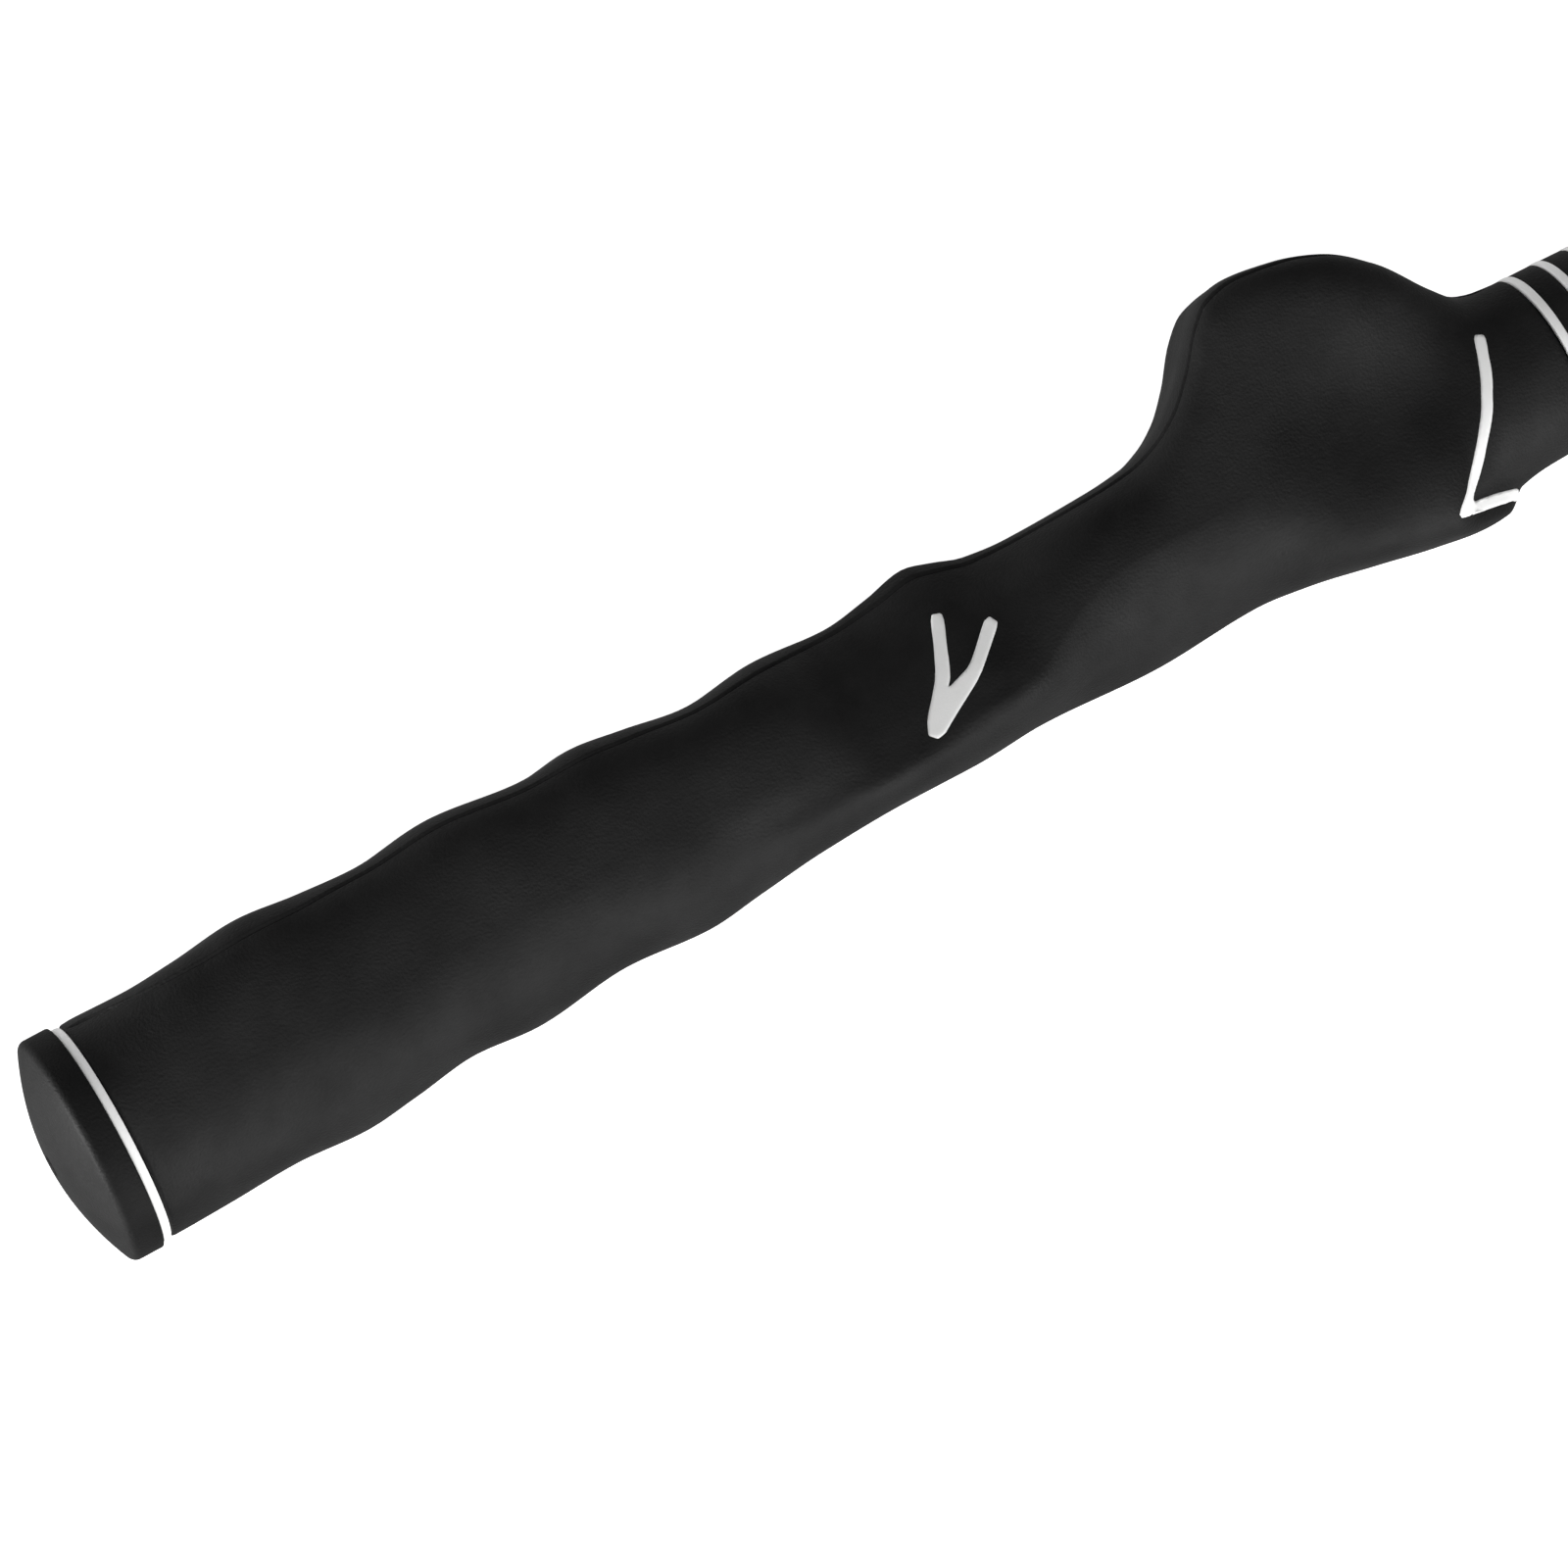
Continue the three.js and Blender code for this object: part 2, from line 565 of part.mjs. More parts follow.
// Pan-head screw through the washer and the bumper, with a six-sided socket.
function endScrew() {
  const seat = BUMPER.wellFloor + WASHER.thickness + 2 * FIT;
  const blank = toSolid(turned([
    [WEIGHT_END - END_SCREW_REACH, 0], [WEIGHT_END - END_SCREW_REACH, END_SCREW_RADIUS - 0.6],
    [WEIGHT_END - END_SCREW_REACH + 0.8, END_SCREW_RADIUS], [seat, END_SCREW_RADIUS],
    [seat, HEAD.radius], [seat + HEAD.height - 0.8, HEAD.radius - 0.2],
    [seat + HEAD.height, HEAD.radius - 1.3], [seat + HEAD.height, 0],
  ], 28));
  const socket = new THREE.CylinderGeometry(2, 2, 4, 6);
  socket.rotateZ(Math.PI / 2);
  socket.translate(seat + HEAD.height, 0, 0);
  return toGeometry(blank.subtract(toSolid(socket)));
}

// ---------------------------------------------------------------- pieces inside the shaft

const INNER_RADIUS = SHAFT_RADIUS - SHAFT_WALL - FIT;
const INNER_TIP_RADIUS = TIP_RADIUS - SHAFT_WALL - FIT;
const ROD = { from: 478, to: 584 };

// ---------------------------------------------------------------- assembly

const part = new THREE.Group();
part.name = 'swing_trainer_stick';

function add(name, geometry, finish) {
  const mesh = new THREE.Mesh(geometry, new THREE.MeshStandardMaterial(FINISHES[finish]));
  mesh.name = name;
  part.add(mesh);
}

function buildGrip() {
  const up = new THREE.Vector3(0, 0, 1);
  const leaning = new THREE.Vector3(0, -0.5, 0.866);
  const upper = markSolids(UPPER_MARK, up, 3);
  const lower = markSolids(strip(LOWER_MARK_LINE, LOWER_MARK_WIDTH), leaning, 0.5);
  const sleeve = toSolid(sleeveBlank()).subtract(upper.cut).subtract(lower.cut);
  add('grip_sleeve', toGeometry(sleeve), 'grip_rubber');
  add('upper_hand_mark', toGeometry(upper.mark), 'mark_rubber');
  add('lower_hand_mark', toGeometry(lower.mark), 'mark_rubber');
  add('butt_cap', buttCap(), 'cap_rubber');
  const ringBore = SPIGOT_RADIUS + FIT;
  add('butt_ring', tube(BUTT_RING.from, BUTT_RING.to, ringBore, BUTT_RING.outer, 32), 'mark_rubber');
  MOUTH_RINGS.forEach((s, i) => {
    const outer = profile(TOP_EDGE, s) + MOUTH_RING.proud;
    const inner = profile(TOP_EDGE, s) - MOUTH_RING.depth + FIT;
    const half = MOUTH_RING.width / 2;
    add(`mouth_ring_${i + 1}`, tube(s - half, s + half, inner, outer, SIDES), 'mark_rubber');
  });
  const tapeBore = SHAFT_RADIUS + FIT;
  add('grip_tape', tube(SHAFT_START + 3, GRIP_LENGTH - 2, tapeBore, tapeBore + FIT), 'tape');
}

function buildShaft() {
  add('shaft_tube', turned(shaftOutline()), 'chrome');
  add('butt_plug', bar(SHAFT_START + 0.5, SHAFT_START + 16, INNER_RADIUS, 0.8), 'black_plastic');
  add('rod_damper', bar(ROD.from - 12, ROD.from - FIT, INNER_TIP_RADIUS, 0.6), 'bumper_rubber');
  add('weight_rod', bar(ROD.from, ROD.to, INNER_TIP_RADIUS, 0.8), 'steel');
}

function buildTip() {
  add('ferrule', ferrule(), 'black_plastic');
  add('weight_body', weightBody(), 'steel');
  add('weight_cover', weightCover(), 'bumper_rubber');
  add('rear_trim_ring', trimRing(COVER.from - TRIM_WIDTH - FIT), 'chrome');
  add('front_trim_ring', trimRing(COVER.to + FIT), 'chrome');
  SCREW_TURNS.forEach((turn, i) => add(`set_screw_${i + 1}`, setScrew(turn), 'dark_screw'));
  add('end_bumper', endBumper(), 'bumper_rubber');
  add('end_washer', endWasher(), 'steel');
  add('end_screw', endScrew(), 'dark_screw');
}

buildGrip();
buildShaft();
buildTip();

// The origin is on the ground below the middle of the bounding box.
const box = new THREE.Box3().setFromObject(part);
const middle = box.getCenter(new THREE.Vector3());
part.position.set(-middle.x, -middle.y, -box.min.z);
part.updateMatrixWorld(true);

export default part;
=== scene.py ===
"""Looks of the weighted golf swing trainer stick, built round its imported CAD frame. Metres, +Z up.

In the names below, s runs along the stick from the butt, t across it and z up, all in mm. The thumb
paddle is on the side of +t and the heel of the hand on the side of -t. The face is the upper side.
"""
import math

import bmesh
import bpy
import numpy as np
from mathutils import Matrix, Vector
from mathutils.bvhtree import BVHTree
from mathutils.geometry import delaunay_2d_cdt


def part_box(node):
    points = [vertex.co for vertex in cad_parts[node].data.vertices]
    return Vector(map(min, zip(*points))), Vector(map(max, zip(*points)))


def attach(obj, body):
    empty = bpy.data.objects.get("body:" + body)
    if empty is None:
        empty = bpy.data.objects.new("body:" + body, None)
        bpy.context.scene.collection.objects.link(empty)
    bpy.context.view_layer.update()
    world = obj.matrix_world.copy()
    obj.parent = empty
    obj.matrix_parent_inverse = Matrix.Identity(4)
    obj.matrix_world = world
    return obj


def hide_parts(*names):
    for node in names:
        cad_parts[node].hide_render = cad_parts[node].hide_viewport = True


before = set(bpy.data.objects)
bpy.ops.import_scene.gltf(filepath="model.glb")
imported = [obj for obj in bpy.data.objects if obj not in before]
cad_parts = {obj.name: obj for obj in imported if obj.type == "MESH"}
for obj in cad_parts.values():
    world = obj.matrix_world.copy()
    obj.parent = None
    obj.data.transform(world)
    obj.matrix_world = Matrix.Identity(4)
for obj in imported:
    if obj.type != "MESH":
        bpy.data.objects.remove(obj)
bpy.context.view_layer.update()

# ---------------------------------------------------------------- places, from the frame

MM = 0.001
CAP_LOW, CAP_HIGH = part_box("butt_cap")
AXIS = (CAP_LOW + CAP_HIGH) / 2
DOME_RISE = 0.8
BUTT_X = CAP_LOW.x + DOME_RISE * MM
CAP_RADIUS = (CAP_HIGH.z - CAP_LOW.z) / 2 / MM
TURN_SIDES = 128


def node_span(node):
    """Where a node starts and ends along the stick, in mm from the butt, and its outer radius."""
    low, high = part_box(node)
    return (low.x - BUTT_X) / MM, (high.x - BUTT_X) / MM, (high.z - low.z) / 2 / MM


def to_frame(s, t, z):
    """Point in the frame from mm along, across and above the stick's axis."""
    return (BUTT_X + s * MM, AXIS.y + t * MM, AXIS.z + z * MM)


SLEEVE_START, SLEEVE_END, _ = node_span("grip_sleeve")
_, SHAFT_END, SHAFT_RADIUS = node_span("shaft_tube")

# ---------------------------------------------------------------- grip profiles, as [s, value] in mm
# Their points are the crests, the valleys and the ends of each curve; a monotone cubic joins them.

TOP_EDGE = [
    (8.5, 15.3), (17, 15.2), (25, 15.7), (34.5, 16.65), (43, 15.8), (51, 15.25), (62, 16.35), (76, 15),
    (83, 15.7), (90, 14.8), (99.5, 13.4), (110, 14.45), (121, 13.65), (128, 14.6), (134, 15.8),
    (138, 14.8), (142, 13.5), (148, 12.95), (160, 13.3), (166, 13.9), (170, 15.2), (174, 17.6),
    (178, 21.5), (182, 26.4), (185, 28.7), (189, 29.5), (196, 28.6), (202, 26.6), (208, 22.8),
    (214, 16.5), (218, 13.2), (221, 12.5), (232, 12.2), (267, 10.6),
]
HEEL_EDGE = [
    (8.5, 15.2), (17, 15), (27, 14.6), (37, 15.2), (45, 14.4), (54, 13.3), (63, 14), (77, 12.65),
    (89, 13.5), (97, 12.65), (107, 11.6), (119, 11.1), (130, 11.2), (141, 10.65), (158, 11.4),
    (174, 10.6), (182, 11.4), (192, 13.3), (200, 14.9), (207, 15.8), (210, 15.6), (211.8, 14.6),
    (213.5, 13.2), (219, 12.45), (232, 12.1), (267, 10.6),
]
FACE = [
    (8.5, 15.2), (20, 14.9), (40, 14.6), (62, 14.4), (86, 13.9), (110, 13.2), (132, 13.4), (150, 12.9),
    (170, 12.6), (190, 12.9), (200, 12.9), (211, 12.8), (222, 11.9), (232, 11.8), (267, 10.6),
]
BACK = [
    (8.5, 15.2), (20, 14.3), (33, 15.4), (47, 14), (61, 15.2), (74, 13.6), (86, 14.8), (98, 13),
    (110, 14.2), (122, 13.1), (134, 14.6), (146, 12.8), (158, 14.3), (171, 13.2), (188, CAP_RADIUS),
    (203, 14), (212, 13.4), (219, 12.4), (232, 12.1), (267, 10.6),
]
SQUARE_FACE_TOP = [
    (8.5, 2), (24, 3.2), (60, 3.4), (102, 3.1), (110, 2.4), (118, 1.5), (136, 1.4), (146, 1.8),
    (158, 2.4), (166, 2.6), (176, 4.5), (186, 6.5), (200, 6.5), (208, 4), (219, 2), (267, 2),
]
SQUARE_FACE_HEEL = [
    (8.5, 2), (24, 2.1), (92, 2.1), (112, 3), (134, 2.6), (146, 1.6), (166, 1.5), (176, 2.2), (188, 3.8),
    (204, 3.6), (213, 2.5), (219, 2), (267, 2),
]
SQUARE_BACK = [(8.5, 2), (40, 2.1), (165, 2.2), (188, 2.7), (204, 2.4), (219, 2), (267, 2)]
MIDDLE_BACK = [(8.5, 0), (168, 0), (186, 6), (200, 5), (216, 0), (267, 0)]

# The face's crest line: round the middle, except where the thumb ridge runs by the heel edge.
MIDDLE_FACE = [
    (8.5, 0), (102, 0), (108, -2.5), (114, -6.5), (118, -7.6), (124, -7.2), (132, -5.8), (141, -4.2),
    (150, 0.4), (158, 2.6), (168, 2.6), (186, 4), (200, 3), (216, 0), (267, 0),
]

# Hollows and swellings of the face: s, t, half-width along, half-width across, height.
FACE_RELIEF = [
    (46, -4, 6, 6, 0.45),
    (69, -2, 5, 5, 0.3),
    (28, -10, 5, 4, -0.35),
    (104, -5.4, 4.5, 1.6, -0.6),
    (118, -7.4, 9, 1, 0.35),
    (134, -5.6, 8, 1, 0.25),
    (126, -11, 14, 2, -1.6),
    (177, -8, 5, 3, -0.9),
    (203, 6, 12, 8, -3.1),
    (205, 21, 9, 6, 1.4),
]
BACK_RELIEF = (200, 20, 9, 7, 4.5)
VEE_FROM, VEE_CORNER, VEE_TO = 20, 143, 176
VEE_REACH = 8
VEE_FADE = (196, 206)

# The mould's parting line: how far inside the paddle edge it shows on the face, as [s, inset].
PARTING_INSET = [
    (8.5, 0.9), (17, 1.3), (34.5, 2.6), (51, 1.3), (62, 1.6), (76, 1.4), (83, 2), (99.5, 1.2),
    (110, 1.6), (121, 0.9), (134, 1.5), (148, 0.7), (168, 0.8), (182, 0.8), (200, 0.5), (212, 0.2),
    (218, 0.1), (267, 0.05),
]
PARTING_HEEL_ANGLE = math.radians(207)
PARTING_DEPTH = 0.3
PARTING_HALF_WIDTH = 0.24
PARTING_STEP = 0.16

# ---------------------------------------------------------------- small maths


def smooth(low, high, value):
    k = np.clip((value - low) / (high - low), 0, 1)
    return k * k * (3 - 2 * k)


def bell(a, b):
    return np.exp(-(a * a + b * b) / 2)


def profile(points, x):
    """Monotone cubic through the points: flat at every crest and valley, no overshoot."""
    px, py = np.array(points, float).T
    slope = np.diff(py) / np.diff(px)
    before, after = slope[:-1], slope[1:]
    same = before * after > 0
    total = np.where(same, before + after, 1)
    tangent = np.zeros(len(px))
    tangent[1:-1] = np.where(same, 2 * before * after / total, 0)
    x = np.clip(np.asarray(x, float), px[0], px[-1])
    i = np.clip(np.searchsorted(px, x, side="right") - 1, 0, len(px) - 2)
    width = px[i + 1] - px[i]
    k = (x - px[i]) / width
    k2 = k * k
    k3 = k2 * k
    start = (2 * k3 - 3 * k2 + 1) * py[i] + (k3 - 2 * k2 + k) * width * tangent[i]
    end = (3 * k2 - 2 * k3) * py[i + 1] + (k3 - k2) * width * tangent[i + 1]
    return start + end


# ---------------------------------------------------------------- grip surface


def face_relief(s, t):
    height = np.zeros_like(s)
    for centre_s, centre_t, along, across, rise in FACE_RELIEF:
        height += rise * bell((s - centre_s) / along, (t - centre_t) / across)
    return height


def vee_shift(s, degrees):
    rise = smooth(VEE_FROM, VEE_CORNER, degrees)
    drop = 1 - smooth(VEE_CORNER, VEE_TO, degrees)
    return VEE_REACH * np.minimum(rise, drop) * smooth(*VEE_FADE, s)


def grip_points(s, u):
    """t and z of the grip's outside for arrays of s and of the angle u (0 at the paddle edge)."""
    c, d = np.cos(u), np.sin(u)
    at = s + np.where(d > 0, vee_shift(s, np.degrees(u)), 0)
    middle = np.where(d > 0, profile(MIDDLE_FACE, at), profile(MIDDLE_BACK, at))
    reach = np.where(c >= 0, profile(TOP_EDGE, at) - middle, profile(HEEL_EDGE, at) + middle)
    height = np.where(d >= 0, profile(FACE, at), profile(BACK, at))
    face_square = np.where(c >= 0, profile(SQUARE_FACE_TOP, at), profile(SQUARE_FACE_HEEL, at))
    square = np.where(d >= 0, face_square, profile(SQUARE_BACK, at))
    t = middle + np.sign(c) * reach * np.abs(c) ** (2 / square)
    z = np.sign(d) * height * np.abs(d) ** (2 / square)
    on_face = np.where(d >= 0, 1 - (1 - np.clip(d, 0, 1)) ** 4, 0)
    z = z + on_face * face_relief(s, t)
    centre_s, centre_t, along, across, rise = BACK_RELIEF
    on_back = np.where(d < 0, d * d, 0)
    return t, z + on_back * rise * bell((s - centre_s) / along, (t - centre_t) / across)


def parting_angle(s):
    """Angle u of the parting line on the paddle side."""
    middle = profile(MIDDLE_FACE, s)
    reach = profile(TOP_EDGE, s) - middle
    part = 1 - profile(PARTING_INSET, s) / reach
    return np.arccos(part ** (profile(SQUARE_FACE_TOP, s) / 2))


# ---------------------------------------------------------------- mesh helpers


def new_object(name, verts, faces, material, smooth_faces=True):
    mesh = bpy.data.meshes.new(name)
    mesh.from_pydata([tuple(v) for v in verts], [], faces)
    mesh.validate()
    mesh.update()
    obj = bpy.data.objects.new(name, mesh)
    bpy.context.scene.collection.objects.link(obj)
    mesh.materials.append(material)
    if smooth_faces:
        mesh.polygons.foreach_set("use_smooth", [True] * len(mesh.polygons))
    return obj


def grid_faces(rows, columns):
    """Quads of a closed skin whose rows and columns both wrap round."""
    i, j = np.meshgrid(np.arange(rows), np.arange(columns), indexing="ij")
    ni, nj = (i + 1) % rows, (j + 1) % columns
    quads = np.stack([i * columns + j, i * columns + nj, ni * columns + nj, ni * columns + j], axis=-1)
    return quads.reshape(-1, 4).tolist()


def filleted(outline, radius, steps=5):
    """A closed outline of (s, r) points with every corner rounded by about the radius."""
    result = []
    count = len(outline)
    for k, corner in enumerate(outline):
        p, a, b = (Vector(outline[(k + m) % count]) for m in (0, -1, 1))
        to_a, to_b = a - p, b - p
        cut = min(radius, 0.45 * to_a.length, 0.45 * to_b.length)
        if corner[1] <= 0 or cut < 1e-4:
            result.append(tuple(p))
            continue
        start, end = p + to_a.normalized() * cut, p + to_b.normalized() * cut
        for m in range(steps + 1):
            k1 = m / steps
            point = start * (1 - k1) ** 2 + p * 2 * k1 * (1 - k1) + end * k1 ** 2
            result.append(tuple(point))
    return result


def turned(name, outline, material, sides=TURN_SIDES):
    """Closed solid of revolution about the stick's axis from a closed outline of (s, r) in mm."""
    angles = np.linspace(0, 2 * math.pi, sides, endpoint=False)
    verts, rows = [], []
    for s, r in outline:
        if r <= 1e-6:
            rows.append([len(verts)] * sides)
            verts.append(to_frame(s, 0, 0))
            continue
        rows.append(list(range(len(verts), len(verts) + sides)))
        verts.extend(to_frame(s, r * math.cos(a), r * math.sin(a)) for a in angles)
    faces = []
    for row, after in zip(rows, rows[1:] + rows[:1]):
        for j in range(sides):
            k = (j + 1) % sides
            corners = [row[j], row[k], after[k], after[j]]
            face = [v for n, v in enumerate(corners) if v != corners[n - 1]]
            if len(set(face)) >= 3:
                faces.append(face)
    return new_object(name, verts, faces, material)


def finish_piece(obj, node):
    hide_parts(node)
    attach(obj, "root")
    return obj


# ---------------------------------------------------------------- materials


def new_material(name):
    material = bpy.data.materials.new(name)
    material.use_nodes = True
    tree = material.node_tree
    return material, tree, tree.nodes["Principled BSDF"]


def add_node(tree, kind, **values):
    node = tree.nodes.new(kind)
    for key, value in values.items():
        if key in node.inputs:
            node.inputs[key].default_value = value
        else:
            setattr(node, key, value)
    return node


def object_noise(tree, scale, detail=2.0, roughness=0.5):
    coords = tree.nodes.new("ShaderNodeTexCoord")
    noise = add_node(tree, "ShaderNodeTexNoise", Scale=scale, Detail=detail, Roughness=roughness)
    tree.links.new(coords.outputs["Object"], noise.inputs["Vector"])
    return noise


def ramp_from(tree, source, low, high, start, end):
    """A number or colour that runs from low to high as the source runs from start to end."""
    ramp = tree.nodes.new("ShaderNodeValToRGB")
    ramp.color_ramp.elements[0].position = start
    ramp.color_ramp.elements[1].position = end
    ramp.color_ramp.elements[0].color = low
    ramp.color_ramp.elements[1].color = high
    tree.links.new(source, ramp.inputs["Fac"])
    return ramp.outputs["Color"]


def grey(value):
    return (value, value, value, 1)


def add_bump(tree, shader, height, distance, strength=1.0, under=None):
    bump = add_node(tree, "ShaderNodeBump", Strength=strength, Distance=distance)
    tree.links.new(height, bump.inputs["Height"])
    if under is not None:
        tree.links.new(under, bump.inputs["Normal"])
    tree.links.new(bump.outputs["Normal"], shader.inputs["Normal"])
    return bump.outputs["Normal"]


def rubber(name, shade, roughness, grain=2600, grain_height=0.0001, gloss=0.2):
    """Moulded rubber: a fine pebbled grain, slightly uneven sheen and faint handling marks."""
    material, tree, shader = new_material(name)
    cloud = object_noise(tree, 75, 6, 0.6)
    colour = ramp_from(tree, cloud.outputs["Fac"], grey(shade * 0.55), grey(shade * 1.5), 0.3, 0.7)
    tree.links.new(colour, shader.inputs["Base Color"])
    patch = object_noise(tree, 120, 5)
    rough = ramp_from(tree, patch.outputs["Fac"], grey(roughness - 0.05), grey(roughness + 0.06), 0.3, 0.7)
    tree.links.new(rough, shader.inputs["Roughness"])
    fine = object_noise(tree, grain, 2)
    first = add_bump(tree, shader, fine.outputs["Fac"], grain_height)
    coarse = object_noise(tree, 420, 2)
    add_bump(tree, shader, coarse.outputs["Fac"], 0.00005, 0.5, first)
    shader.inputs["Specular IOR Level"].default_value = gloss
    return material


def white_rubber(name):
    material, tree, shader = new_material(name)
    cloud = object_noise(tree, 300, 3)
    colour = ramp_from(tree, cloud.outputs["Fac"], (0.93, 0.93, 0.92, 1), (0.97, 0.97, 0.965, 1), 0.3, 0.7)
    tree.links.new(colour, shader.inputs["Base Color"])
    fine = object_noise(tree, 2600, 2)
    add_bump(tree, shader, fine.outputs["Fac"], 0.00003)
    shader.inputs["Roughness"].default_value = 0.5
    return material


def chrome(name, tint):
    """Bright chrome plate with faint lengthwise polishing and small smudges."""
    material, tree, shader = new_material(name)
    shader.inputs["Metallic"].default_value = 1
    shader.inputs["Base Color"].default_value = tint
    smudge = object_noise(tree, 60, 6, 0.65)
    rough = ramp_from(tree, smudge.outputs["Fac"], grey(0.06), grey(0.17), 0.35, 0.75)
    tree.links.new(rough, shader.inputs["Roughness"])
    ripple = object_noise(tree, 900, 2)
    add_bump(tree, shader, ripple.outputs["Fac"], 0.000004)
    return material


def turned_steel(name, tint, roughness):
    """Machined steel: fine rings round the axis left by the tool, and a satin sheen."""
    material, tree, shader = new_material(name)
    shader.inputs["Metallic"].default_value = 1
    shader.inputs["Base Color"].default_value = tint
    coords = tree.nodes.new("ShaderNodeTexCoord")
    stretch = add_node(tree, "ShaderNodeMapping")
    stretch.inputs["Scale"].default_value = (9000, 60, 60)
    tree.links.new(coords.outputs["Object"], stretch.inputs["Vector"])
    rings = add_node(tree, "ShaderNodeTexNoise", Scale=1.0, Detail=3.0)
    tree.links.new(stretch.outputs["Vector"], rings.inputs["Vector"])
    rough = ramp_from(tree, rings.outputs["Fac"], grey(roughness - 0.08), grey(roughness + 0.1), 0.3, 0.7)
    tree.links.new(rough, shader.inputs["Roughness"])
    add_bump(tree, shader, rings.outputs["Fac"], 0.00001, 0.6)
    return material


def gloss_plastic(name, shade):
    material, tree, shader = new_material(name)
    cloud = object_noise(tree, 80, 3)
    colour = ramp_from(tree, cloud.outputs["Fac"], grey(shade * 0.9), grey(shade * 1.15), 0.3, 0.7)
    tree.links.new(colour, shader.inputs["Base Color"])
    rough = ramp_from(tree, object_noise(tree, 200, 4).outputs["Fac"], grey(0.16), grey(0.26), 0.3, 0.7)
    tree.links.new(rough, shader.inputs["Roughness"])
    add_bump(tree, shader, object_noise(tree, 700, 2).outputs["Fac"], 0.00001)
    return material


def black_oxide(name):
    material, tree, shader = new_material(name)
    shader.inputs["Metallic"].default_value = 0.85
    spots = object_noise(tree, 1400, 3)
    colour = ramp_from(tree, spots.outputs["Fac"], grey(0.03), grey(0.08), 0.35, 0.7)
    tree.links.new(colour, shader.inputs["Base Color"])
    shader.inputs["Roughness"].default_value = 0.38
    add_bump(tree, shader, spots.outputs["Fac"], 0.00001)
    return material


def creped_tape(name):
    material, tree, shader = new_material(name)
    coords = tree.nodes.new("ShaderNodeTexCoord")
    stretch = add_node(tree, "ShaderNodeMapping")
    stretch.inputs["Scale"].default_value = (1800, 300, 300)
    tree.links.new(coords.outputs["Object"], stretch.inputs["Vector"])
    crepe = add_node(tree, "ShaderNodeTexNoise", Scale=1.0, Detail=4.0)
    tree.links.new(stretch.outputs["Vector"], crepe.inputs["Vector"])
    colour = ramp_from(tree, crepe.outputs["Fac"], (0.62, 0.56, 0.42, 1), (0.78, 0.72, 0.58, 1), 0.3, 0.7)
    tree.links.new(colour, shader.inputs["Base Color"])
    shader.inputs["Roughness"].default_value = 0.85
    add_bump(tree, shader, crepe.outputs["Fac"], 0.00005)
    return material


GRIP_RUBBER = rubber("grip_rubber_look", 0.009, 0.6)
CAP_RUBBER = rubber("cap_rubber_look", 0.007, 0.6, gloss=0.12)
BUMPER_RUBBER = rubber("bumper_rubber_look", 0.02, 0.58, 1800, 0.00008)
WHITE_RUBBER = white_rubber("mark_rubber_look")
SHAFT_CHROME = chrome("shaft_chrome_look", (0.78, 0.79, 0.8, 1))
TRIM_CHROME = chrome("trim_chrome_look", (0.74, 0.75, 0.77, 1))
STEEL = turned_steel("weight_steel_look", (0.52, 0.53, 0.55, 1), 0.3)
PLASTIC = gloss_plastic("black_plastic_look", 0.014)
OXIDE = black_oxide("dark_screw_look")
TAPE = creped_tape("grip_tape_look")

# ---------------------------------------------------------------- grip sleeve

RING_NODES = ["mouth_ring_1", "mouth_ring_2", "mouth_ring_3"]
RING_GROOVE_DEPTH = 0.9
RING_GAP = 0.05
RING_GROOVE_LIP = 0.12
FINE_STATIONS = (160, 223)
NECK_STATIONS_FROM = 238
MOUTH_ROUND = 1.2
PARTING_FADE = (220, 224)
FACE_COLUMNS = 220
FLAT_COLUMNS = 70
FLAT_CROWDING = 2.6
BACK_COLUMNS = 134
BORE_RADIUS = SHAFT_RADIUS + 0.6
SPIGOT_END = node_span("butt_cap")[1] + 0.2
SPIGOT_RADIUS = 12.4


def sleeve_stations():
    """Stations along the sleeve with how far each is sunk below the surface, in mm."""
    coarse = np.arange(SLEEVE_START + 0.5, FINE_STATIONS[0], 1.0)
    plain = list(coarse) + list(np.arange(*FINE_STATIONS, 0.5))
    stations = [(SLEEVE_START, 0.45), (SLEEVE_START + 0.1, 0.2), (SLEEVE_START + 0.25, 0.06)]
    stations += [(s, 0) for s in plain]
    for node in RING_NODES:
        low, high, _ = node_span(node)
        low, high = low - RING_GAP, high + RING_GAP
        lip = RING_GROOVE_LIP
        stations += [(low - 1, 0), (low - lip, 0), (low - lip * 0.3, 0.04), (low, 0.14)]
        stations += [(low, RING_GROOVE_DEPTH), (high, RING_GROOVE_DEPTH)]
        stations += [(high, 0.14), (high + lip * 0.3, 0.04), (high + lip, 0), (high + 1, 0)]
    stations += [(s, 0) for s in np.arange(NECK_STATIONS_FROM, SLEEVE_END - 2, 2.0)]
    for a in np.linspace(0, math.pi / 2, 7):
        stations.append((SLEEVE_END - MOUTH_ROUND * (1 - math.sin(a)), MOUTH_ROUND * (1 - math.cos(a))))
    return stations


def eased(count):
    """Even steps from 0 towards 1, drawn closer together at both ends."""
    k = np.arange(count) / count
    return k - 0.12 * np.sin(2 * math.pi * k)


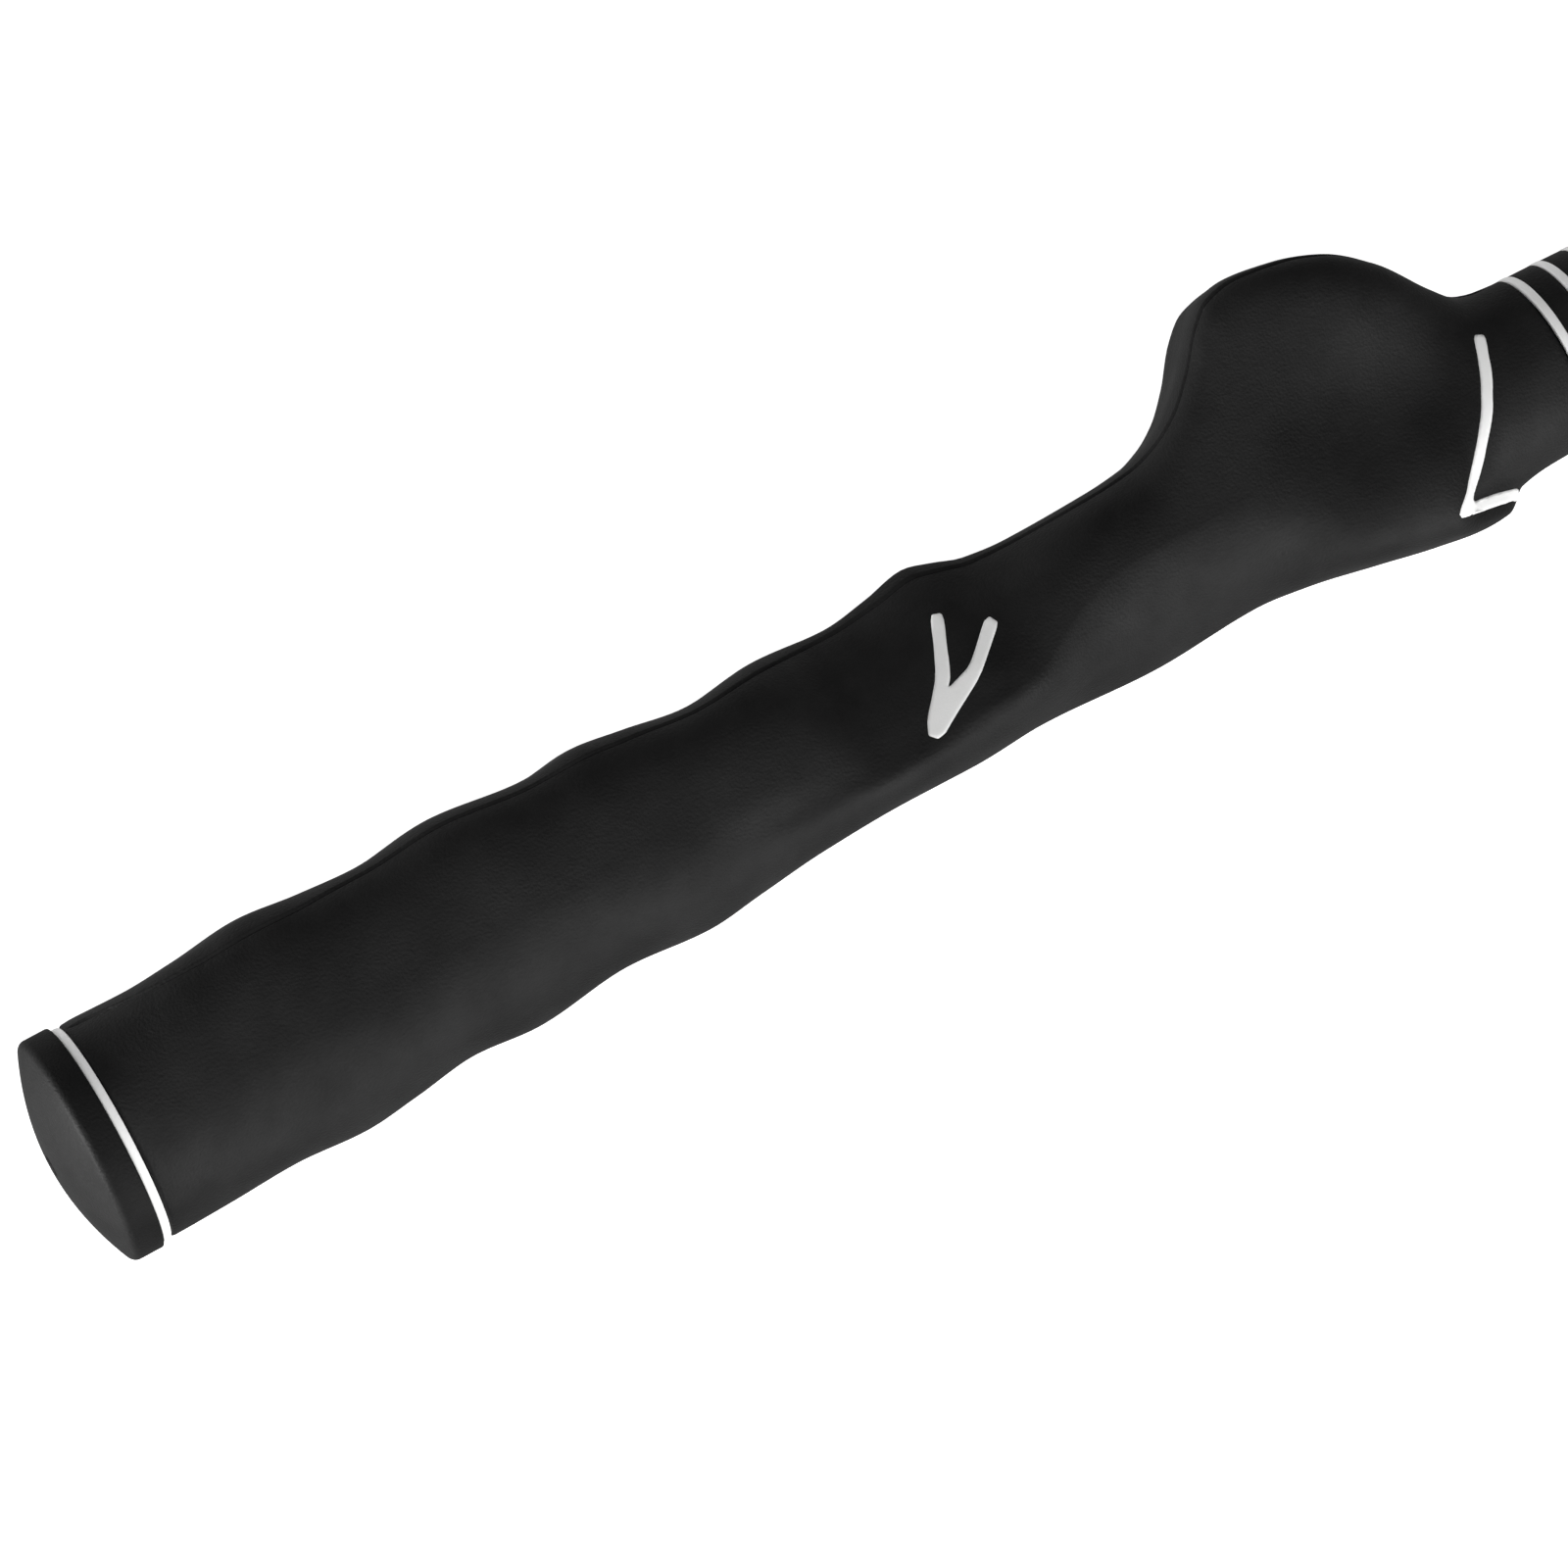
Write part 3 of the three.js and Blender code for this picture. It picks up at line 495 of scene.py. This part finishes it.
def section(s):
    """t and z round the sleeve at one station: the face half, then the back half.

    Some of the face's columns are crowded towards its middle, where a squarish section is flat.
    """
    low = parting_angle(s)
    high = PARTING_HEEL_ANGLE
    turned_by = low + (high - low) * eased(FACE_COLUMNS - FLAT_COLUMNS)
    first = math.acos(math.cos(low) ** (1 / FLAT_CROWDING))
    across = np.cos(np.linspace(first, math.pi, FLAT_COLUMNS + 2))[1:-1]
    flat = np.arccos(np.sign(across) * np.abs(across) ** FLAT_CROWDING)
    front = np.sort(np.concatenate([turned_by, flat]))
    back = high + (low + 2 * math.pi - high) * eased(BACK_COLUMNS)
    u = np.concatenate([front, back])
    return grip_points(np.full(len(u), float(s)), u)


def parting_inset(t, z):
    """How far the skin is sunk at each column: a groove on the parting line, a small step past it."""
    inset = np.zeros(len(t))
    ring = np.stack([t, z], axis=1)
    step = np.linalg.norm(np.roll(ring, -1, axis=0) - ring, axis=1)
    along = np.concatenate([[0], np.cumsum(step)[:-1]])
    for column in (0, FACE_COLUMNS):
        away = np.abs(along - along[column])
        away = np.minimum(away, step.sum() - away)
        inset += PARTING_DEPTH * np.exp(-((away / PARTING_HALF_WIDTH) ** 2))
    past = np.where(np.arange(len(t)) >= FACE_COLUMNS, step.sum() - along, 0)
    return inset - PARTING_STEP * smooth(0, 0.5, past) * (1 - smooth(3, 8, past))


def circle_row(s, radius):
    t, z = section(max(s, SLEEVE_START))
    angles = np.arctan2(z, t)
    return [to_frame(s, radius * math.cos(a), radius * math.sin(a)) for a in angles]


def grip_sleeve():
    count = FACE_COLUMNS + BACK_COLUMNS
    verts = []
    stations = sleeve_stations()
    for s, sink in stations:
        t, z = section(s)
        fade = smooth(SLEEVE_START, SLEEVE_START + 2, s) * (1 - smooth(*PARTING_FADE, s))
        radius = np.hypot(t, z)
        scale = 1 - (sink + fade * parting_inset(t, z)) / radius
        verts += [to_frame(s, a, b) for a, b in zip(t * scale, z * scale)]
    inner = [(SLEEVE_END, BORE_RADIUS + 0.3), (SLEEVE_END - 0.4, BORE_RADIUS), (SPIGOT_END, BORE_RADIUS)]
    inner += [(SPIGOT_END, SPIGOT_RADIUS), (SLEEVE_START, SPIGOT_RADIUS)]
    for s, radius in inner:
        verts += circle_row(s, radius)
    faces = grid_faces(len(stations) + len(inner), count)
    obj = new_object("grip_sleeve_skin", verts, faces, GRIP_RUBBER)
    return finish_piece(obj, "grip_sleeve")


# ---------------------------------------------------------------- hand marks

UPPER_MARK = [
    (133, 8.7), (134.2, 8.3), (130.3, 0.8), (129, -0.8), (133.4, 0.5), (138.3, 4.7), (139.1, 4.9),
    (139.5, 3.9), (133.6, -1), (127.5, -4.3), (125.8, -5.3), (124.7, -5.5), (124, -4.7),
    (124.9, -3), (129, 1.4),
]
LOWER_MARK_LINE = [
    (215.9, 7.1), (213.7, 2), (211.2, -2.4), (206.5, -8.2), (202.4, -12.3), (208.4, -13), (212.2, -13.8),
]
LOWER_MARK_WIDTH = 1.2
MARK_GROWTH = 0.2
MARK_PROUD = 0.12
MARK_EDGE = 0.3
MARK_DEPTH = 0.6
MARK_MESH = 0.3


def strip_outline(line, width):
    """Outline of a bent strip of even width about a line."""
    points = [Vector(p) for p in line]
    sides = []
    for k, point in enumerate(points):
        one = point - points[k - 1] if k else points[1] - point
        two = points[k + 1] - point if k + 1 < len(points) else one
        n1 = Vector((-one.y, one.x)).normalized()
        n2 = Vector((-two.y, two.x)).normalized()
        normal = (n1 + n2).normalized()
        sides.append(normal * (width / 2 / max(0.35, normal.dot(n1))))
    left = [tuple(p + n) for p, n in zip(points, sides)]
    right = [tuple(p - n) for p, n in zip(points, sides)]
    return left + right[::-1]


def grown(outline, distance):
    """Outline moved outwards, each corner along the mean of its two sides' normals."""
    points = [Vector(p) for p in outline]
    area = sum(points[k - 1].x * p.y - p.x * points[k - 1].y for k, p in enumerate(points))
    turn = 1 if area > 0 else -1
    result = []
    for k, point in enumerate(points):
        one = (point - points[k - 1]).normalized()
        two = (points[(k + 1) % len(points)] - point).normalized()
        normal = Vector((one.y + two.y, -one.x - two.x)).normalized()
        stretch = max(0.5, normal.dot(Vector((one.y, -one.x))))
        result.append(tuple(point + normal * (turn * distance / stretch)))
    return result


def softened(outline, rounds=2, share=0.2):
    """Corner cutting, which rounds the outline a little each time."""
    points = [Vector(p) for p in outline]
    for _ in range(rounds):
        cut = []
        for k, point in enumerate(points):
            after = points[(k + 1) % len(points)]
            cut += [point.lerp(after, share), point.lerp(after, 1 - share)]
        points = cut
    return points


def edge_distance(points, outline):
    """Distance of each point from the closed outline."""
    p = np.array(points)[:, None, :]
    a = np.array([tuple(v) for v in outline])[None]
    b = np.roll(a, -1, axis=1)
    along = np.clip(((p - a) * (b - a)).sum(-1) / np.maximum(((b - a) ** 2).sum(-1), 1e-12), 0, 1)
    return np.linalg.norm(p - a - along[..., None] * (b - a), axis=-1).min(1)


def inside(points, outline):
    """Which points are inside the closed outline, by crossings."""
    x, y = np.array(points).T
    result = np.zeros(len(x), bool)
    for k, (ax, ay) in enumerate(outline):
        bx, by = outline[k - 1]
        crosses = (ay > y) != (by > y)
        level = (bx - ax) * (y - ay) / (by - ay if by != ay else 1) + ax
        result ^= crosses & (x < level)
    return result


def skin_point(skin, s, t):
    """The skin straight below (s, t), or its nearest point where (s, t) is past its edge."""
    hit, normal, _, _ = skin.ray_cast(Vector(to_frame(s, t, 40)), Vector((0, 0, -1)))
    if hit is None or hit.z < AXIS.z:
        hit, normal, _, _ = skin.find_nearest(Vector(to_frame(s, t, 1)))
    return hit, normal


def hand_mark(name, node, outline, skin):
    """White inlay that follows the skin below its outline, with a rounded edge."""
    outline = softened(grown(outline, MARK_GROWTH), 3, 0.12)
    low = np.min([tuple(v) for v in outline], axis=0)
    high = np.max([tuple(v) for v in outline], axis=0)
    grid = np.mgrid[low[0]:high[0]:MARK_MESH, low[1]:high[1]:MARK_MESH].reshape(2, -1).T
    keep = inside(grid, outline) & (edge_distance(grid, outline) > MARK_MESH * 0.45)
    points = [tuple(v) for v in outline] + [tuple(v) for v in grid[keep]]
    count = len(outline)
    ring = list(range(count))
    flat = delaunay_2d_cdt([Vector(p) for p in points], [], [ring], 1, 1e-6)
    points = [tuple(v) for v in flat[0]]
    depth = edge_distance(points, outline)
    lift = MARK_PROUD * np.sqrt(1 - (1 - np.clip(depth / MARK_EDGE, 0, 1)) ** 2)
    tops, bottoms = [], []
    for (s, t), rise in zip(points, lift):
        hit, normal = skin_point(skin, s, t)
        tops.append(hit + normal * (rise * MM))
        bottoms.append(hit - normal * (MARK_DEPTH * MM))
    bm = bmesh.new()
    above = [bm.verts.new(v) for v in tops]
    below = [bm.verts.new(v) for v in bottoms]
    edges = {}
    for face in flat[2]:
        bm.faces.new([above[i] for i in face])
        bm.faces.new([below[i] for i in reversed(face)])
        for i, j in zip(face, list(face[1:]) + [face[0]]):
            edges[(i, j)] = True
    for i, j in edges:
        if (j, i) not in edges:
            bm.faces.new([above[j], above[i], below[i], below[j]])
    bmesh.ops.recalc_face_normals(bm, faces=bm.faces)
    mesh = bpy.data.meshes.new(name)
    bm.to_mesh(mesh)
    bm.free()
    mesh.materials.append(WHITE_RUBBER)
    mesh.polygons.foreach_set("use_smooth", [True] * len(mesh.polygons))
    obj = bpy.data.objects.new(name, mesh)
    bpy.context.scene.collection.objects.link(obj)
    return finish_piece(obj, node)


def skin_tree(obj):
    mesh = obj.data
    return BVHTree.FromPolygons([v.co for v in mesh.vertices], [tuple(p.vertices) for p in mesh.polygons])


# ---------------------------------------------------------------- butt end and rings

DOME_DEPTH = 3.7
CAP_CORNER = 1.2
VENT_RADIUS = 1.5
VENT_LIP = 0.15
CAP_SPIGOT_RADIUS = 12.2
BUTT_RING_DEPTH = 2.8
RING_CROWN = 0.12


def dome_at(r, radius):
    """Place along the stick of the dome at radius r: a shallow bowl that stands out at the middle."""
    return DOME_DEPTH * (r / radius) ** 2 - DOME_RISE


def butt_cap():
    """Low domed end with a vent hole, a rounded corner and a plain side band."""
    end, radius = node_span("butt_cap")[1:]
    face = node_span("butt_ring")[0] - RING_GAP
    tilt = math.atan(2 * DOME_DEPTH / radius)
    core = radius - CAP_CORNER
    rim = core + CAP_CORNER * math.sin(tilt)
    centre = dome_at(rim, radius) + CAP_CORNER * math.cos(tilt)
    dome = [(dome_at(r, radius), r) for r in np.linspace(VENT_RADIUS + VENT_LIP, rim, 24)]
    corner = [(centre - CAP_CORNER * math.cos(a), core + CAP_CORNER * math.sin(a))
              for a in np.linspace(tilt, math.pi / 2, 12)[1:]]
    vent = [(end, VENT_RADIUS), (VENT_LIP - DOME_RISE, VENT_RADIUS)]
    side = [(face - 0.3, radius), (face - 0.1, radius - 0.06), (face, radius - 0.25)]
    side += [(face, CAP_SPIGOT_RADIUS), (end, CAP_SPIGOT_RADIUS)]
    obj = turned("butt_cap_skin", vent + dome + corner + side, CAP_RUBBER)
    return finish_piece(obj, "butt_cap")


def white_ring(node, depth):
    """White ring with a softly rounded outer face."""
    low, high, radius = node_span(node)
    half = (high - low) / 2
    crown = [(low + half - half * math.cos(a), radius - RING_CROWN * (1 - math.sin(a)))
             for a in np.linspace(0, math.pi, 9)]
    outline = [(low, radius - depth)] + crown + [(high, radius - depth)]
    obj = turned(node + "_skin", outline, WHITE_RUBBER, 160)
    return finish_piece(obj, node)


# ---------------------------------------------------------------- shaft and ferrule

FERRULE_DROP = 1.05


def shaft_steps():
    """Outer profile of the shaft, read from its CAD mesh: (s, radius) at each change."""
    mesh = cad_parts["shaft_tube"].data
    found = {}
    for v in mesh.vertices:
        s = round((v.co.x - BUTT_X) / MM, 2)
        r = math.hypot(v.co.y - AXIS.y, v.co.z - AXIS.z) / MM
        found.setdefault(s, []).append(r)
    return [(s, max(found[s]), min(found[s])) for s in sorted(found)]


def shaft():
    """Stepped tube with each step eased, as drawn steel has it."""
    steps = shaft_steps()
    outline = [(s, outer) for s, outer, _ in steps] + [(s, inner) for s, _, inner in reversed(steps)]
    obj = turned("shaft_tube_skin", filleted(outline, 1.2, 6), SHAFT_CHROME, 160)
    return finish_piece(obj, "shaft_tube")


def ferrule():
    """Tapered plastic collar that fits the shaft's narrow end."""
    low, high, radius = node_span("ferrule")
    inner = SHAFT_RADIUS - FERRULE_DROP
    outline = [
        (low, inner), (low, inner + 0.7), (low + 9, 8.2), (high - 3, 9.6), (high, radius), (high, inner),
    ]
    obj = turned("ferrule_skin", filleted(outline, 0.6, 5), PLASTIC)
    return finish_piece(obj, "ferrule")


# ---------------------------------------------------------------- tip weight

FIT = 0.2
WEIGHT_BORE = 6.55
WEIGHT_SEAT = 11.6
WEIGHT_NOSE = 10
CONE_LENGTH = 5
CONE_RADIUS = 11.9
END_HOLE_RADIUS = 3
END_HOLE_WALL = 4
BORE_PAST_SHAFT = 2
SCREW_S = 523
SCREW_TURNS = [math.pi / 2, math.pi]
SCREW_RADIUS = 2.5
SCREW_LENGTH = 4.2
SCREW_CHAMFER = 0.35
SCREW_HOLE = (4, 14)
SCREW_SIDES = 48
HEX_SIDES = 6
SOCKET_RADIUS = 1.4
SOCKET_DEPTH = 2
STICK_WAY = Vector((1, 0, 0))


def bar(name, outline, s, out, first, sides, material):
    """Closed bar along `out` from the stick's axis at s: (height, radius) of each ring of corners."""
    across = out.cross(first)
    base = Vector(to_frame(s, 0, 0))
    verts = []
    for height, radius in outline:
        for j in range(sides):
            a = 2 * math.pi * j / sides
            side = first * math.cos(a) + across * math.sin(a)
            verts.append(base + (out * height + side * radius) * MM)
    faces = [list(range(sides))[::-1], list(range(len(verts) - sides, len(verts)))]
    for row in range(0, len(verts) - sides, sides):
        for j in range(sides):
            k = (j + 1) % sides
            faces.append([row + j, row + k, row + sides + k, row + sides + j])
    return new_object(name, verts, faces, material)


def cut(obj, tool, sharp=math.radians(35)):
    """Takes the tool's solid out of the object, and removes the tool."""
    modifier = obj.modifiers.new("cut", "BOOLEAN")
    modifier.operation = "DIFFERENCE"
    modifier.solver = "EXACT"
    modifier.object = tool
    bpy.context.view_layer.update()
    graph = bpy.context.evaluated_depsgraph_get()
    mesh = bpy.data.meshes.new_from_object(obj.evaluated_get(graph))
    obj.modifiers.clear()
    obj.data = mesh
    bpy.data.objects.remove(tool)
    mesh.polygons.foreach_set("use_smooth", [True] * len(mesh.polygons))
    mesh.set_sharp_from_angle(angle=sharp)
    return obj


def screw_way(turn):
    return Vector((0, math.cos(turn), math.sin(turn)))


def weight_body():
    """Turned steel weight with a seat for the cover, a bore for the shaft and two screw holes."""
    low, high, radius = node_span("weight_body")
    seat_from = node_span("rear_trim_ring")[0] - FIT
    seat_to = node_span("front_trim_ring")[1] + FIT
    bore_end = SHAFT_END + BORE_PAST_SHAFT
    hole_start = bore_end + END_HOLE_WALL
    cone_end = seat_from - 1
    outline = [
        (low, WEIGHT_BORE), (low, WEIGHT_NOSE), (cone_end - CONE_LENGTH, CONE_RADIUS), (cone_end, radius),
        (seat_from, radius), (seat_from, WEIGHT_SEAT), (seat_to, WEIGHT_SEAT), (seat_to, radius),
        (high, radius), (high, END_HOLE_RADIUS), (hole_start, END_HOLE_RADIUS), (hole_start, 0),
        (bore_end, 0), (bore_end, WEIGHT_BORE),
    ]
    obj = turned("weight_body_skin", filleted(outline, 0.7, 5), STEEL)
    hole = [(height, SCREW_RADIUS + FIT) for height in SCREW_HOLE]
    for turn in SCREW_TURNS:
        cut(obj, bar("screw_hole", hole, SCREW_S, screw_way(turn), STICK_WAY, SCREW_SIDES, STEEL))
    return finish_piece(obj, "weight_body")


def set_screw(number):
    """Socket set screw in its hole, with chamfered ends and a six-sided recess."""
    out = screw_way(SCREW_TURNS[number - 1])
    low = WEIGHT_BORE + FIT
    high = low + SCREW_LENGTH
    core = SCREW_RADIUS - SCREW_CHAMFER
    stub = [(low, core), (low + SCREW_CHAMFER, SCREW_RADIUS)]
    stub += [(high - SCREW_CHAMFER, SCREW_RADIUS), (high, core)]
    obj = bar(f"set_screw_{number}_skin", stub, SCREW_S, out, STICK_WAY, SCREW_SIDES, OXIDE)
    recess = [(high - SOCKET_DEPTH, SOCKET_RADIUS), (high + 1, SOCKET_RADIUS)]
    cut(obj, bar("socket", recess, SCREW_S, out, STICK_WAY, HEX_SIDES, OXIDE))
    return finish_piece(obj, f"set_screw_{number}")


COVER_RIBS = 6
COVER_GROOVE = 1.3


def weight_cover():
    """Rubber sleeve with broad rounded ribs."""
    low, high, radius = node_span("weight_cover")
    pitch = (high - low) / COVER_RIBS
    outline = [(low, WEIGHT_SEAT + FIT)]
    for k in range(COVER_RIBS):
        s = low + k * pitch
        outline += [(s, radius - COVER_GROOVE), (s + 0.9, radius)]
        outline += [(s + pitch - 1.6, radius), (s + pitch - 0.7, radius - COVER_GROOVE)]
    outline += [(high, radius - COVER_GROOVE), (high, WEIGHT_SEAT + FIT)]
    obj = turned("weight_cover_skin", filleted(outline, 0.8, 5), BUMPER_RUBBER)
    return finish_piece(obj, "weight_cover")


def trim_ring(node):
    """Chromed ring with well rounded corners."""
    low, high, radius = node_span(node)
    inner = WEIGHT_SEAT + FIT
    outline = [(low, inner), (low, radius), (high, radius), (high, inner)]
    obj = turned(f"{node}_skin", filleted(outline, 1.1, 7), TRIM_CHROME)
    return finish_piece(obj, node)


# ---------------------------------------------------------------- end bumper

WELL_FLOOR = 622
WELL_RADIUS = 6
FOOT_RADIUS = 11
BUMPER_BORE = 3.2
SCREW_HEAD_HEIGHT = 3
END_SOCKET_RADIUS = 2
END_SOCKET_DEPTH = 2


def end_bumper():
    """Rubber foot with a rounded end and a well for the screw."""
    low, high, radius = node_span("end_bumper")
    outline = [
        (low, BUMPER_BORE), (low, radius), (high - 5, radius), (high - 1.6, radius - 0.9),
        (high, FOOT_RADIUS), (high, WELL_RADIUS), (WELL_FLOOR, WELL_RADIUS), (WELL_FLOOR, BUMPER_BORE),
    ]
    obj = turned("end_bumper_skin", filleted(outline, 1.4, 8), BUMPER_RUBBER)
    return finish_piece(obj, "end_bumper")


def end_washer():
    """Flat washer at the bottom of the bumper's well."""
    low, high, radius = node_span("end_washer")
    outline = [(low, BUMPER_BORE), (low, radius), (high, radius), (high, BUMPER_BORE)]
    obj = turned("end_washer_skin", filleted(outline, 0.2, 3), STEEL)
    return finish_piece(obj, "end_washer")


def end_screw():
    """Pan-head screw with a six-sided socket."""
    low, high, radius = node_span("end_screw")
    seat = high - SCREW_HEAD_HEIGHT
    shank = BUMPER_BORE - 2 * FIT
    outline = [
        (low, 0), (low, shank - 0.6), (low + 0.8, shank), (seat, shank), (seat, radius),
        (high - 0.8, radius - 0.2), (high, radius - 1.3), (high, 0),
    ]
    obj = turned("end_screw_skin", filleted(outline, 0.4, 4), OXIDE)
    recess = [(high - END_SOCKET_DEPTH, END_SOCKET_RADIUS), (high + 1, END_SOCKET_RADIUS)]
    cut(obj, bar("end_socket", recess, 0, STICK_WAY, Vector((0, 1, 0)), HEX_SIDES, OXIDE))
    return finish_piece(obj, "end_screw")


# ---------------------------------------------------------------- camera, light and floor

CAMERA_BACK = 103.98
CAMERA_HEIGHT = 1011.6
AIM = (106.72, -1.41)
PICTURE_TURN = 28.82
LENS = 182.36
SENSOR = 36


def camera():
    """Looks down from behind the butt, turned so that the stick runs up to the right."""
    data = bpy.data.cameras.new("photo_camera")
    data.lens = LENS
    data.sensor_width = SENSOR
    data.clip_start = 0.05
    data.clip_end = 20
    obj = bpy.data.objects.new("photo_camera", data)
    bpy.context.scene.collection.objects.link(obj)
    place = Vector(to_frame(-CAMERA_BACK, 0, CAMERA_HEIGHT))
    aim = Vector(to_frame(*AIM, 0))
    back = (place - aim).normalized()
    turn = math.radians(PICTURE_TURN)
    hint = Vector((math.sin(turn), math.cos(turn), 0))
    right = hint.cross(back).normalized()
    up = back.cross(right)
    rotation = Matrix((right, up, back)).transposed()
    obj.matrix_world = Matrix.Translation(place) @ rotation.to_4x4()
    bpy.context.scene.camera = obj


def area_light(name, place, aim, size, power):
    data = bpy.data.lights.new(name, "AREA")
    data.shape = "RECTANGLE"
    data.size, data.size_y = size
    data.energy = power
    obj = bpy.data.objects.new(name, data)
    bpy.context.scene.collection.objects.link(obj)
    obj.location = place
    obj.rotation_euler = (Vector(aim) - Vector(place)).to_track_quat("-Z", "Y").to_euler()


def lights():
    """A big softbox overhead, two softer ones on the heel side, and a strip by the butt."""
    grip = Vector(to_frame(130, 0, 0))
    butt = Vector(to_frame(0, 0, 0))
    area_light("softbox_overhead", grip + Vector((-0.3, -0.25, 1.1)), grip, (1.5, 1.4), 11)
    area_light("key_from_heel", grip + Vector((0.15, -0.6, 0.42)), grip, (0.5, 0.4), 2.7)
    area_light("low_from_heel", grip + Vector((0.12, -0.7, 0.1)), grip, (0.6, 0.15), 1.8)
    area_light("strip_by_butt", butt + Vector((-0.3, 0.02, 0.0)), butt, (0.2, 0.03), 2.9)
    world = bpy.data.worlds.new("studio")
    world.use_nodes = True
    background = world.node_tree.nodes["Background"]
    background.inputs["Color"].default_value = (1, 1, 1, 1)
    background.inputs["Strength"].default_value = 0.04
    bpy.context.scene.world = world
    bpy.context.scene.view_settings.view_transform = "Standard"


FLOOR_HALF = 4.0
FLOOR_GLOW = 0.9
FLOOR_IN_GLOSS = 0.33


def floor_sheet(name, level, shade, glow):
    """One sheet of floor, lit a little from below as in product pictures."""
    material, tree, shader = new_material(name)
    cloud = object_noise(tree, 3, 2)
    colour = ramp_from(tree, cloud.outputs["Fac"], grey(shade), grey(shade + 0.02), 0.3, 0.7)
    tree.links.new(colour, shader.inputs["Base Color"])
    shader.inputs["Roughness"].default_value = 0.8
    shader.inputs["Emission Color"].default_value = (1, 1, 1, 1)
    shader.inputs["Emission Strength"].default_value = glow
    corners = [(x * FLOOR_HALF, y * FLOOR_HALF, level) for x, y in ((-1, -1), (1, -1), (1, 1), (-1, 1))]
    return new_object(name, corners, [(0, 1, 2, 3)], material, smooth_faces=False)


def floor():
    """A pale light table, and a dimmer sheet just below it that only the gloss sees."""
    shown = floor_sheet("studio_floor", 0, 0.86, FLOOR_GLOW)
    shown.visible_glossy = False
    mirrored = floor_sheet("studio_floor_in_gloss", -0.001, 0, FLOOR_IN_GLOSS)


# ---------------------------------------------------------------- carried-over CAD nodes

NODE_LOOKS = {
    "grip_tape": TAPE,
    "butt_plug": PLASTIC,
    "rod_damper": BUMPER_RUBBER,
    "weight_rod": STEEL,
}


def dress_cad_nodes():
    """Gives the pieces that stay as CAD made them, all of them hidden, their materials."""
    for node, look in NODE_LOOKS.items():
        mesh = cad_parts[node].data
        mesh.materials.clear()
        mesh.materials.append(look)


# ---------------------------------------------------------------- assembly

camera()
lights()
floor()
SKIN = skin_tree(grip_sleeve())
hand_mark("upper_hand_mark_skin", "upper_hand_mark", UPPER_MARK, SKIN)
LOWER_MARK = strip_outline(LOWER_MARK_LINE, LOWER_MARK_WIDTH)
hand_mark("lower_hand_mark_skin", "lower_hand_mark", LOWER_MARK, SKIN)
butt_cap()
white_ring("butt_ring", BUTT_RING_DEPTH)
for ring_node in RING_NODES:
    white_ring(ring_node, RING_GROOVE_DEPTH)
shaft()
ferrule()
weight_body()
set_screw(1)
set_screw(2)
weight_cover()
trim_ring("rear_trim_ring")
trim_ring("front_trim_ring")
end_bumper()
end_washer()
end_screw()
dress_cad_nodes()
